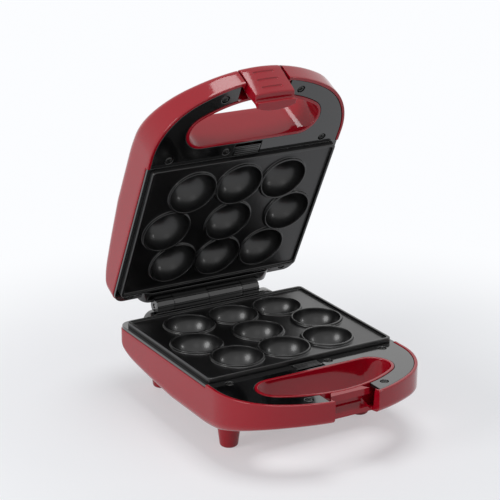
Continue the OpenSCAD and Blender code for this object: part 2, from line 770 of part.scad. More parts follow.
// A plate's release catch: a ribbed pad in the deck's window, a foot plate under the deck, a tongue that
// reaches into the plate's keeper and a cross web that the springs push on
module catch_body() {
    y1 = catch_y0 - deck_gap - 0.1;
    translate([-catch_w / 2, y1 - catch_d, catch_z - tongue_t])
        cube([catch_w, catch_d, deck_top - catch_z + tongue_t]);
    for (i = [0:3]) translate([-catch_w / 2 + 1, y1 - 1.9 - i * (catch_d - 2.8) / 3, deck_top - 0.1])
        cube([catch_w - 2, 1, 0.6]);
    translate([-rail_x + slide_gap, y1 - catch_d - 1, catch_z - tongue_t])
        cube([2 * (rail_x - slide_gap), catch_d + 1, tongue_t]);
    translate([-tongue_w / 2, y1 - over, catch_z - tongue_t])
        cube([tongue_w, tongue_y - y1 + over, tongue_t]);
    translate([-spring_x - 2.4, spring_y, catch_z - tongue_t - 4.8]) cube([2 * spring_x + 4.8, 1.4, 5]);
}
module lower_catch() color(black) place_base() catch_body();
module upper_catch() color(black) place_lid() catch_body();

// Two springs between a catch's web and the wall behind the hand opening
module spring_set() for (s = [-1, 1]) translate([s * spring_x, spring_y, catch_z - tongue_t - 2.5])
    rotate([90, 0, 0]) coil(1.6, 0.3, spring_y + opening_back - wall, 5);

// A coil of wire: its ends are closed rings that lie flat
module coil(r, wire, l, turns) {
    steps = 12 * turns;
    sides = 6;
    points = [
        for (i = [0:steps]) for (k = [0:sides - 1])
            let (t = smooth(i / steps), a = 30 * i, b = 60 * k, q = r + wire * cos(b))
            [q * cos(a), q * sin(a), wire + (l - 2 * wire) * t + wire * sin(b)]
    ];
    polyhedron(
        points = points,
        faces = concat(
            [[for (k = [0:sides - 1]) k]],
            [[for (k = [0:sides - 1]) (steps + 1) * sides - 1 - k]],
            [for (i = [0:steps - 1]) for (k = [0:sides - 1])
                let (a = i * sides + k, b = i * sides + (k + 1) % sides)
                    each [[a, a + sides, b], [b, a + sides, b + sides]]]
        )
    );
}
module lower_catch_springs() color(steel) place_base() spring_set();
module upper_catch_springs() color(steel) place_lid() spring_set();

// A foot: a taper with a rounded end, and a hole for its screw
module foot(p) color(red) place_base() translate([p[0], p[1], foot_z]) difference() {
    rotate_extrude() polygon(concat(
        [[0, 0], [foot_top_d / 2, 0]],
        arc([foot_end_d / 2 - foot_edge_r, foot_edge_r - foot_l], foot_edge_r, 0, -90, 6),
        [[0, -foot_l]]
    ));
    translate([0, 0, -foot_l - over]) cylinder(h = foot_bore + over, r = screw_head_r + 0.1);
    translate([0, 0, -foot_l]) cylinder(h = foot_l + over, r = screw_r + 0.2);
}
module front_left_foot() foot(feet[0]);
module front_right_foot() foot(feet[1]);
module back_left_foot() foot(feet[2]);
module back_right_foot() foot(feet[3]);

// The four screws that hold the feet, driven from below
module foot_screws() color(steel) place_base() for (p = feet)
    translate([p[0], p[1], foot_z - foot_l + foot_bore]) rotate([180, 0, 0])
        screw([0, 0], screw_head_h, foot_screw_l);

// A round thermostat under the reflector, with two tabs for its leads
module thermostat() color(ceramic) place_base() translate([0, 0, -reflector_drop]) {
    h = 0.42 * under_room;
    translate([0, 0, -h]) cylinder(h = h, d = thermostat_d);
    translate([-0.75 * thermostat_d, -tab_pitch / 2, -1]) cube([1.5 * thermostat_d, tab_pitch, 1]);
    for (s = [-1, 1]) translate([-tab_t / 2, s * tab_pitch / 2 - tab_w / 2, -0.7 * under_room])
        cube([tab_t, tab_w, 0.4 * under_room]);
}

// A thermal fuse in its strap, under the reflector, between the cups of two rows
module thermal_fuse() color(steel) place_base()
    translate([-middle_pitch / 2, -0.75 * row_pitch, -reflector_drop]) {
        z = -tab_t - fuse_d / 2 + 0.2;
        rod(-fuse_l / 2, fuse_l / 2, 0, z, fuse_d / 2);
        rod(-fuse_lead_l / 2, fuse_lead_l / 2, 0, z, fuse_d / 8);
        translate([-fuse_l / 4, -fuse_d, -tab_t]) cube([fuse_l / 2, 2 * fuse_d, tab_t]);
        translate([-fuse_l / 4, -fuse_d / 3, z]) cube([fuse_l / 2, 2 * fuse_d / 3, -z]);
    }

// A ceramic block with three poles, near the cord inlet
module terminal_block() color(ceramic) place_base() {
    h = under_room / 2;
    translate([-block_w / 2, 0.4 * body_back - block_d / 2, -reflector_drop - h]) difference() {
        cube([block_w, block_d, h]);
        for (x = [0.19, 0.5, 0.81]) translate([x * block_w, 0, 0]) {
            translate([0, -over, 0.45 * h]) rotate([-90, 0, 0]) cylinder(h = block_d + 2 * over, r = 0.2 * h);
            for (y = [0.25, 0.75]) translate([0, y * block_d, -over])
                cylinder(h = 0.45 * h + over, r = 0.22 * h);
        }
    }
}

// The hinge's steel pin, which stops short of the outer knuckles' ends
module hinge_pin() color(steel) place_base()
    rod(1 - hinge_half, hinge_half - 1, hinge_back, 0, hinge_pin_d / 2);

// A lens in the lid's top, with a domed end and a flange inside
module lens(x) place_lid() translate([x, lens_y, 0]) {
    z = -face_depth(lens_y) - crown_h;
    translate([0, 0, z]) cylinder(h = lens_d, r = lens_d / 2 - 0.1);
    translate([0, 0, z + wall + 1.9]) cylinder(h = 1, r = lens_d / 2 + 1);
    intersection() {
        translate([0, 0, z + 0.86 * lens_d]) sphere(lens_d + 0.1);
        translate([0, 0, z - 0.17 * lens_d]) cylinder(h = 0.3 * lens_d, r = lens_d / 2 - 0.1);
    }
}
module power_lens() color(amber) lens(lens_pitch / 2);
module ready_lens() color(green) lens(-lens_pitch / 2);

// The board that carries the two lamps behind the lenses
module indicator_board() color("#3d6b4a") place_lid()
    translate([-lens_pitch / 2 - board_end, lens_y - board_d / 2, -board_drop - board_t])
        cube([lens_pitch + 2 * board_end, board_d, board_t]);

module indicator_lamps() color(amber) place_lid() for (s = [-1, 1])
    translate([s * lens_pitch / 2, lens_y, -board_drop - board_t - 0.5 * lens_d]) {
        cylinder(h = 0.5 * lens_d, d = 0.6 * lens_d);
        sphere(d = 0.6 * lens_d);
    }

// The latch, drawn as it stands when the lid is shut: a grip that follows the handle's front, two cheeks
// with the pin's hole, a stem and a hook whose lip goes under the base's bar
module latch() color(red) place_lid() rotate([0, 180, 0]) difference() {
    intersection() {
        across(latch_w) latch_side();
        latch_front();
        latch_width();
        lip_plan();
    }
    difference() {
        across(latch_w - 2 * hook_t) latch_pocket();
        rod(-latch_w, latch_w, latch_pin_y, latch_pin_up, latch_pin_d / 2 + 1.7);
    }
    rod(-latch_w, latch_w, latch_pin_y, latch_pin_up, latch_pin_d / 2 + running_fit);
    for (i = [0:2]) latch_groove(latch_top - (1.1 + i) * groove_pitch);
}

// A groove across the grip at height z, where the grip's front leans in towards the crease
module latch_groove(z) {
    lean = crease_in * (latch_top - latch_edge_r - z) / (latch_top - latch_edge_r + crease_drop);
    rod(-groove_l / 2, groove_l / 2, latch_out + lean + 0.1, z, groove_r);
}

// A shape carried across the latch's width
module across(w) translate([-w / 2, 0, 0]) rotate([90, 0, 90]) linear_extrude(w) children();

// The latch's side profile
module latch_side() {
    in = bar_y - 0.6;
    lip = bar_y + hook_reach;
    t = hook_t;
    polygon(concat(
        [[latch_out - latch_t, crease_z], [latch_out - latch_t, latch_top - latch_edge_r]],
        arc([latch_out + latch_edge_r, latch_top - latch_edge_r], latch_edge_r, 180, 90, 5),
        [[latch_pin_y + 1.5, latch_top]],
        arc([latch_pin_y, latch_pin_up], in - latch_pin_y, 50, 0, 4),
        [
            [in, hook_z + t], [lip, hook_z + t], [lip, hook_z + 0.4 * t], [lip - 0.4 * t, hook_z],
            [in - 1.2 * t, hook_z], [in - 1.6 * t, hook_z + 0.5 * t],
            [in - 2.2 * t, hook_z + 1.3 * t], [in - 3 * t, crease_z - 0.1 * t]
        ]
    ));
}

// The hollow behind the grip, open to the back
module latch_pocket() polygon([
    [latch_out + crease_in + 0.8 * latch_t, crease_z + 3], [bar_y + 6.5, crease_z + 3],
    [bar_y + 6.5, latch_pin_up + latch_t], [latch_out + 1.35 * latch_t, latch_pin_up + latch_t],
    [latch_out + 1.15 * latch_t, latch_pin_up]
]);

// The latch's outline from the front, which grows narrower towards the hook
module latch_width() rotate([90, 0, 0]) linear_extrude(2 * body_front) polygon([
    [-latch_w / 2, latch_top + over], [-latch_w / 2, -crease_z], [-latch_w / 2 + hook_taper, hook_z],
    [latch_w / 2 - hook_taper, hook_z], [latch_w / 2, -crease_z], [latch_w / 2, latch_top + over]
]);

// The bow of the hook's lip in plan: its middle reaches furthest under the bar
module lip_plan() {
    r = (pow(latch_w / 2, 2) + pow(lip_bow, 2)) / (2 * lip_bow);
    translate([0, bar_y + hook_reach - r, hook_z - over]) cylinder(h = 2 * body_depth, r = r, $fn = 96);
}

// The form that the latch's front follows: the handle's arc, drawn in towards the crease
module latch_front() translate([0, front_centre_y, crease_z]) {
    r = front_centre_y - latch_out;
    h = latch_top - latch_edge_r - crease_z;
    translate([0, 0, hook_z - crease_z]) cylinder(h = crease_z - hook_z, r = r - crease_in, $fn = 96);
    cylinder(h = h, r1 = r - crease_in, r2 = r, $fn = 96);
    translate([0, 0, h]) cylinder(h = 2 * latch_edge_r, r = r, $fn = 96);
}

module latch_pin() color(steel) place_lid()
    rod(0.1 - latch_pin_half, latch_pin_half - 0.1, latch_pin_y, -latch_pin_up, latch_pin_d / 2);

lower_housing();
lower_deck();
lower_plate();
lower_element();
lower_element_clips();
lower_reflector();
lower_deck_screws();
lower_catch();
lower_catch_springs();
front_left_foot();
front_right_foot();
back_left_foot();
back_right_foot();
foot_screws();
thermostat();
thermal_fuse();
terminal_block();
hinge_pin();
upper_housing();
upper_deck();
upper_plate();
upper_element();
upper_element_clips();
upper_reflector();
upper_deck_screws();
upper_catch();
upper_catch_springs();
power_lens();
ready_lens();
indicator_board();
indicator_lamps();
latch_pin();
latch();
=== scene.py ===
"""Cake pop maker: the moulded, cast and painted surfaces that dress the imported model.

Lengths in the settings are millimetres. Both halves of the maker are worked out in one half frame: the
parting plane is z = 0, the plate's centre is the origin, the handle is towards -Y, and the half's own body
lies below the plane. to_base and to_lid carry that frame to where the base and the open lid stand.
"""
import json
import math

import bmesh
import bpy
import numpy as np
from mathutils import Matrix, Vector
from mathutils.geometry import delaunay_2d_cdt


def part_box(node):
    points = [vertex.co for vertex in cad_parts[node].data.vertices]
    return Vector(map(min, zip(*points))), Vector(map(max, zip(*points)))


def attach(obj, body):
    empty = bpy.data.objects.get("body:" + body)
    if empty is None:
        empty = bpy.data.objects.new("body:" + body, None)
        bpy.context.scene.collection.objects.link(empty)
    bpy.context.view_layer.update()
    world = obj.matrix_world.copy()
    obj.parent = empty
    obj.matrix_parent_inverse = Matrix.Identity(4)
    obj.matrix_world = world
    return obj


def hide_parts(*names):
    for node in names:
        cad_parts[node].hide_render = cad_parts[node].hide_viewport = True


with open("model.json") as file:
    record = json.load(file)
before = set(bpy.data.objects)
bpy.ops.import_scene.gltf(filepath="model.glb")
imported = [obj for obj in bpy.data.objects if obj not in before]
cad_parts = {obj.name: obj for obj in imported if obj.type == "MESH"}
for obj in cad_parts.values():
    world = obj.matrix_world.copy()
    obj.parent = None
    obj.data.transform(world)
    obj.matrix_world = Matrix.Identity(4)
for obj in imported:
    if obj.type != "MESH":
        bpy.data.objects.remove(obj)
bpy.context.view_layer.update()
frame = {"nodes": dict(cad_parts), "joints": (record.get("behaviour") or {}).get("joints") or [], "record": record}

bl_info = {
    "name": "Cake pop maker",
    "version": (1, 0, 0),
    "blender": (4, 5, 0),
    "location": "View3D > Sidebar > Cake pop",
    "description": "Builds the dressed cake pop maker round its packed frame",
    "category": "Object",
}

MM = 0.001
JOINTS = {joint["name"]: joint for joint in frame["joints"]}
HINGE = np.array(JOINTS["lid_hinge"]["pos_m"]) / MM
LID_OPEN = math.radians(-JOINTS["lid_hinge"]["range_deg"][0])
FEET = ("front_left_foot", "front_right_foot", "back_left_foot", "back_right_foot")
# Height of the feet's tops in the half frame
FOOT_TOP = -43.9
# Gaps round the plates and round the catches in their windows
PLATE_GAP = 0.6
CATCH_GAP = 0.4
# Radius of the hinge pin's bore
PIN_BORE = 2.05
# How far each screw of a deck is turned, in degrees
TURNS = (20, 65, 38, 10, 52, 31, 77)
# The lenses' places on the lid, in the half frame
LENS_X = 12.0
LENS_Y = -65.0
# Points along half the back wall: beside the hinge notch, and in it
BACK_STEPS = (5, 26)


# Settings

def length(name, text, value):
    """A length in millimetres that a user may change."""
    return bpy.props.FloatProperty(name=name, description=text, default=value, min=0.0)


def colour(name, text, value):
    """A colour that a user may change."""
    return bpy.props.FloatVectorProperty(
        name=name, description=text, default=value, size=3, subtype="COLOR", min=0, max=1)


class HousingSettings(bpy.types.PropertyGroup):
    """Sizes of the two red housings."""
    half_width: length("Half width", "Half the width of a housing", 89.0)
    front: length("Front", "From the plate's centre to the handle's front", 148.5)
    back: length("Back", "From the plate's centre to the housing's back", 80.0)
    hinge_back: length("Hinge", "From the plate's centre to the hinge axis", 86.9)
    front_radius: length("Front radius", "Plan radius of the handle's front", 118.0)
    corner_radius: length("Corner radius", "Plan radius of the front corners", 59.0)
    back_radius: length("Back corner radius", "Plan radius of the back corners", 11.0)
    wall: length("Wall", "Thickness of the moulded wall", 2.6)
    depth: length("Depth", "Depth below the parting plane, under the plate", 41.5)
    handle_depth: length("Handle depth", "Depth at the handle's front", 23.0)
    back_depth: length("Back depth", "Depth at the back wall", 21.5)
    slope_start: length("Slope start", "From the plate's centre to where the face turns to the handle", 60.0)
    slope_length: length("Slope length", "Length of the slope towards the handle", 95.0)
    rise_start: length("Rise start", "From the plate's centre forward to where the face starts to rise", 10.0)
    edge: length("Edge", "Radius of the broad face's edge under the plate", 10.0)
    handle_edge: length("Handle edge", "Radius of that edge at the handle's front", 5.0)
    back_edge: length("Back edge", "Radius of that edge at the back", 8.0)
    crown: length("Crown", "Rise of the broad face's crown", 2.5)
    rim_drop: length("Rim", "Depth of the rim round the handle", 4.6)
    rim_step: length("Rim step", "From the plate's centre to the step in the rim", 70.5)
    side_drop: length("Side wall top", "Depth of the wall's top beside the plate", 7.6)
    notch_drop: length("Hinge notch", "Depth of the notch for the hinge block", 14.0)
    notch_half: length("Notch half width", "Half the width of that notch", 63.4)
    opening_back: length("Opening", "From the plate's centre to the hand opening", 87.3)
    opening_end: length("Opening end radius", "Radius of the hand opening's ends", 14.7)
    bar: length("Handle bar", "Width of the handle bar in plan", 19.5)
    gap_width: length("Latch gap", "Width of the latch gap", 40.0)
    gap_depth: length("Latch gap depth", "From the handle's front to the bar", 12.0)


class PlateSettings(bpy.types.PropertyGroup):
    """Sizes of the two plates."""
    width: length("Width", "Width of a plate", 170.0)
    depth: length("Depth", "Depth of a plate", 139.0)
    top: length("Top", "Depth of the plate's rim below the parting plane", 0.8)
    middle_pitch: length("Middle pitch", "Distance between cups in the middle row", 57.2)
    outer_pitch: length("Outer pitch", "Distance between cups in the front and back rows", 42.4)
    row_pitch: length("Row pitch", "Distance from the middle row to the others", 39.2)
    bulge: length("Bulge", "How much further out the middle cup of those rows sits", 1.4)
    rim_width: length("Rim width", "Width of the raised rim", 2.4)
    rim_height: length("Rim height", "Height of the rim over the field", 2.0)
    skirt: length("Skirt", "Height of the plate's outer side", 4.4)
    thickness: length("Thickness", "Thickness of the cast wall", 1.8)
    corner: length("Corner", "Radius of the plate's corners in plan", 3.5)
    cup_radius: length("Cup radius", "Inside radius of a cup", 20.0)
    cup_wall: length("Cup wall", "Thickness of a cup's wall", 1.6)


class DeckSettings(bpy.types.PropertyGroup):
    """Sizes of the two decks, their screws and their catches."""
    top: length("Top", "Depth of a deck's top below the parting plane", 5.0)
    thickness: length("Thickness", "Thickness of a deck", 2.4)
    inset: length("Inset", "From the housing's outline to the deck's edge", 3.0)
    seat: length("Seat", "Depth of the ledge under the plate's edge", 5.2)
    ledge: length("Ledge", "Width of that ledge", 5.5)
    side_screw: length("Side screws", "Half the distance between the side screws", 70.9)
    screw_row: length("Screw row", "From the plate's centre to the row of screws", 76.5)
    back_screw_side: length("Back screw side", "From the housing's side to the back screws", 13.5)
    back_screw: length("Back screw", "From the plate's edge to the back screws", 4.2)
    middle_screw: length("Middle screw", "From the centre line to the middle screw", 19.2)
    tip_screw: length("Tip screws", "Half the distance between the screws beside the latch gap", 34.3)
    tip_row: length("Tip row", "From the plate's centre to those screws", 132.3)
    head: length("Screw head", "Radius of a screw's head", 3.1)
    catch_width: length("Catch width", "Width of a catch's ribbed pad", 24.0)
    catch_depth: length("Catch depth", "Depth of a catch's ribbed pad", 9.2)
    catch_travel: length("Catch travel", "Travel of a catch", 2.8)
    block_half: length("Hinge block", "Half the width of the block with the knuckles", 63.0)
    block_depth: length("Block depth", "Depth of that block below the parting plane", 13.6)
    knuckle: length("Knuckle", "Radius of the hinge knuckles", 6.5)
    hinge_half: length("Hinge", "Half the length of the hinge", 50.0)
    knuckle_half: length("Knuckle joints", "Half the distance between the outer knuckle joints", 33.5)


class LatchSettings(bpy.types.PropertyGroup):
    """Sizes of the latch, as it stands when the lid is shut."""
    width: length("Width", "Width of the latch", 36.0)
    top: length("Top", "Height of the latch's top over the parting plane", 22.8)
    edge: length("Edge", "Radius of the grip's top edge", 4.8)
    crease: length("Crease", "Depth of the crease below the parting plane", 7.5)
    crease_in: length("Crease inset", "How far the front is drawn in at the crease", 2.6)
    hook: length("Hook", "Depth of the hook's end below the parting plane", 14.2)
    lip: length("Lip", "Thickness of the hook's lip", 2.6)
    reach: length("Reach", "How far the hook's middle reaches past the bar's front", 4.6)
    bow: length("Bow", "How much further back the lip's ends stand", 4.9)
    taper: length("Taper", "How much narrower the hook is at each side", 0.8)
    groove: length("Groove", "Length of the grooves across the grip", 17.0)
    groove_pitch: length("Groove pitch", "Distance between the grooves", 8.0)
    groove_radius: length("Groove radius", "Radius of the grooves", 1.1)


class FinishSettings(bpy.types.PropertyGroup):
    """Colours of the finishes."""
    red: colour("Red", "The glossy red plastic", (0.35, 0.002, 0.012))
    black: colour("Black", "The black deck plastic", (0.0016, 0.0016, 0.0018))
    coating: colour("Coating", "The non-stick coating", (0.0016, 0.0016, 0.0018))
    steel: colour("Steel", "Screws, pins and springs", (0.55, 0.55, 0.54))


# Meshes

def to_base(p):
    """Points of the half frame, where the base stands."""
    s = bpy.context.scene.cake_housing
    return (np.asarray(p) + [0, HINGE[1] - s.hinge_back, HINGE[2]]) * MM


def to_lid(p):
    """Points of the half frame, where the lid stands: turned over about Y, then opened about the hinge."""
    s = bpy.context.scene.cake_housing
    x, y, z = -np.asarray(p)[:, 0], np.asarray(p)[:, 1] - s.hinge_back, -np.asarray(p)[:, 2]
    c, d = math.cos(LID_OPEN), math.sin(LID_OPEN)
    return np.stack([x, y * c + z * d + HINGE[1], z * c - y * d + HINGE[2]], 1) * MM


# Each half's name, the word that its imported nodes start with, and what places it
HALVES = (("base", "lower", to_base), ("lid", "upper", to_lid))


def grid_faces(rows, columns, wrap_rows=False, wrap_columns=True):
    """Quads of a grid of points stored row by row; a wrapped direction joins its last line to its first."""
    i = np.arange(rows if wrap_rows else rows - 1)[:, None]
    j = np.arange(columns if wrap_columns else columns - 1)[None, :]
    i1, j1 = (i + 1) % rows, (j + 1) % columns
    quads = np.stack([i * columns + j, i * columns + j1, i1 * columns + j1, i1 * columns + j], -1)
    return quads.reshape(-1, 4)


def new_piece(name, points, faces, material, body=None, slot=None, sharp=38.0):
    """A mesh object from an array of points in metres and a list of face arrays, smooth up to an angle."""
    mesh = bpy.data.meshes.new(name)
    faces = [f for f in faces if len(f)]
    flat = np.concatenate([f.ravel() for f in faces]).astype(np.int32)
    sizes = np.concatenate([np.full(len(f), f.shape[1]) for f in faces]).astype(np.int32)
    mesh.vertices.add(len(points))
    mesh.vertices.foreach_set("co", np.asarray(points, np.float32).ravel())
    mesh.loops.add(len(flat))
    mesh.loops.foreach_set("vertex_index", flat)
    mesh.polygons.add(len(sizes))
    mesh.polygons.foreach_set("loop_start", (np.cumsum(sizes) - sizes).astype(np.int32))
    mesh.polygons.foreach_set("loop_total", sizes)
    mesh.update(calc_edges=True)
    mesh.validate()
    obj = bpy.data.objects.new(name, mesh)
    bpy.context.scene.collection.objects.link(obj)
    smooth(obj, sharp)
    if material is not None:
        mesh.materials.append(material)
    if body:
        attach(obj, body)
    return obj


def smooth(obj, sharp):
    """Smooth shading up to an angle in degrees."""
    mesh = obj.data
    mesh.polygons.foreach_set("use_smooth", np.ones(len(mesh.polygons), bool))
    mesh.set_sharp_from_angle(angle=math.radians(sharp))


def arc(x, y, r, a0, a1, n):
    """n + 1 points of a circle's arc between two angles in degrees, as an array of x and y."""
    a = np.radians(np.linspace(a0, a1, n + 1))
    return np.stack([x + r * np.cos(a), y + r * np.sin(a)], 1)


def step(t):
    """A smooth step from 0 to 1: 3t^2 - 2t^3."""
    t = np.clip(t, 0, 1)
    return t * t * (3 - 2 * t)


def cut(obj, tool):
    """Cuts the tool's shape out of obj's mesh, and deletes the tool."""
    modifier = obj.modifiers.new("cut", "BOOLEAN")
    modifier.operation, modifier.object, modifier.solver = "DIFFERENCE", tool, "EXACT"
    depsgraph = bpy.context.evaluated_depsgraph_get()
    mesh = bpy.data.meshes.new_from_object(obj.evaluated_get(depsgraph))
    obj.modifiers.remove(modifier)
    old = obj.data
    obj.data = mesh
    bpy.data.meshes.remove(old)
    bpy.data.objects.remove(tool)


def tube_faces(n):
    """The faces of a closed form of two rings of n points: its sides, its bottom and its top."""
    return [grid_faces(2, n), np.arange(n)[::-1][None], np.arange(n, 2 * n)[None]]


def block(lo, hi, place, radius):
    """A box between two corners of the half frame, its upright edges rounded, as a tool to cut with."""
    x0, y0, x1, y1 = lo[0] + radius, lo[1] + radius, hi[0] - radius, hi[1] - radius
    ring = np.concatenate([
        arc(x1, y0, radius, -90, 0, 6), arc(x1, y1, radius, 0, 90, 6),
        arc(x0, y1, radius, 90, 180, 6), arc(x0, y0, radius, 180, 270, 6)])
    n = len(ring)
    points = np.concatenate([np.c_[ring, np.full(n, lo[2])], np.c_[ring, np.full(n, hi[2])]])
    return new_piece("cutter", place(points), tube_faces(n), None)


# The housings

def towards_handle(y, s):
    """A smooth step from 0 under the plate to 1 near the handle's front."""
    return step((-y - s.slope_start) / s.slope_length)


def face_depth(y, s):
    """Depth of a housing's broad face at y: full under the plate, a smooth step down towards the handle,
    and a straight slope plus a sixth power towards the back."""
    t = np.maximum((y + s.rise_start) / (s.back + s.rise_start), 0)
    return (s.depth - (s.depth - s.handle_depth) * towards_handle(y, s)
            - (s.depth - s.back_depth) * (0.4 * t + 0.6 * t ** 6))


def shoulder(y, s):
    """Radius of the edge between wall and broad face at y: smooth steps between its three radii."""
    towards_back = step((y - s.back + 40) / 30)
    return s.edge - (s.edge - s.handle_edge) * towards_handle(y, s) - (s.edge - s.back_edge) * towards_back


def half_outline(s):
    """Half of a housing's outline from the front's middle to the back's: two arcs, a straight side, a
    corner arc and half the back, as points and outward normals. Close pairs of points stand where the rim
    steps."""
    close, close_angle = 0.05, 0.03
    cy = s.front_radius - s.front
    cx = s.half_width - s.corner_radius
    a = math.degrees(math.acos(cx / (s.front_radius - s.corner_radius)))
    ky = cy - math.sqrt((s.front_radius - s.corner_radius) ** 2 - cx ** 2)
    split = math.degrees(math.asin((s.gap_width / 2 + s.wall) / s.front_radius))
    b = np.radians(np.r_[
        np.linspace(0, split - close_angle, 15), np.linspace(split + close_angle, 90 - a, 8)[:-1]] - 90)
    front = np.c_[s.front_radius * np.cos(b), cy + s.front_radius * np.sin(b), np.cos(b), np.sin(b)]
    b = np.radians(np.linspace(-a, 0, 37))
    corner = np.c_[cx + s.corner_radius * np.cos(b), ky + s.corner_radius * np.sin(b), np.cos(b), np.sin(b)]
    y1 = s.back - s.back_radius
    sides = np.r_[np.linspace(ky, -s.rim_step - close, 6)[1:], np.linspace(-s.rim_step + close, y1, 60)]
    side = np.c_[np.full(len(sides), s.half_width), sides, np.ones(len(sides)), np.zeros(len(sides))]
    b = np.radians(np.linspace(0, 90, 17))[1:]
    bx = s.half_width - s.back_radius
    back_corner = np.c_[bx + s.back_radius * np.cos(b), y1 + s.back_radius * np.sin(b), np.cos(b), np.sin(b)]
    beside, inside = BACK_STEPS
    xs = np.r_[np.linspace(bx, s.notch_half + close, beside + 1)[1:],
               np.linspace(s.notch_half - close, 0, inside)]
    back = np.c_[xs, np.full(len(xs), s.back), np.zeros(len(xs)), np.ones(len(xs))]
    return np.concatenate([front, corner, side, back_corner, back])


def outline(s):
    """The whole outline, counter-clockwise from the front's middle."""
    half = half_outline(s)
    other = half[1:-1][::-1] * [-1, 1, -1, 1]
    return np.concatenate([half, other])


def opening_outline(s, grow=0.0):
    """The hand opening's outline: a front arc beside the handle's front, two round ends and a straight
    back."""
    r = s.opening_end + grow
    big = s.front_radius - s.bar + grow
    fy = s.front_radius - s.front
    cy = -s.opening_back - s.opening_end
    cx = math.sqrt((big - r) ** 2 - (cy - fy) ** 2)
    a = math.degrees(math.atan2(cy - fy, cx))
    back = np.linspace(cx, -cx, 60)[1:-1]
    return np.concatenate([
        arc(0, fy, big, -180 - a, a, 120), arc(cx, cy, r, a, 90, 40)[1:],
        np.c_[back, np.full(len(back), cy + r)], arc(-cx, cy, r, 90, 180 - a, 40)[:-1]])


def opening_points(s, outer, grow):
    """The point of the hand opening's outline that each point of the housing's outline looks at, on a ray
    from the opening's middle."""
    middle = np.array([0.0, -106.0])
    hole = opening_outline(s, grow) - middle
    angle = np.arctan2(hole[:, 1], hole[:, 0])
    order = np.argsort(angle)
    look = np.arctan2(outer[:, 1] - middle[1], outer[:, 0])
    radius = np.interp(look, angle[order], np.hypot(*hole.T)[order], period=2 * math.pi)
    return middle + radius[:, None] * np.c_[np.cos(look), np.sin(look)]


def face_height(x, y, s, inset):
    """Height of the broad face over the plan: level across X but for the crown, which falls as x
    squared."""
    half = half_outline(s)[:-sum(BACK_STEPS)]
    r = shoulder(half[:, 1], s)
    ex, ey = half[:, 0] - half[:, 2] * r, half[:, 1] - half[:, 3] * r
    z = inset - face_depth(np.interp(y, ey, half[:, 1]), s)
    width = np.interp(y, ey, ex)
    fade = step((s.back - 8 - y) / 30)
    return z - s.crown * fade * np.maximum(width ** 2 - x ** 2, 0) / s.half_width ** 2


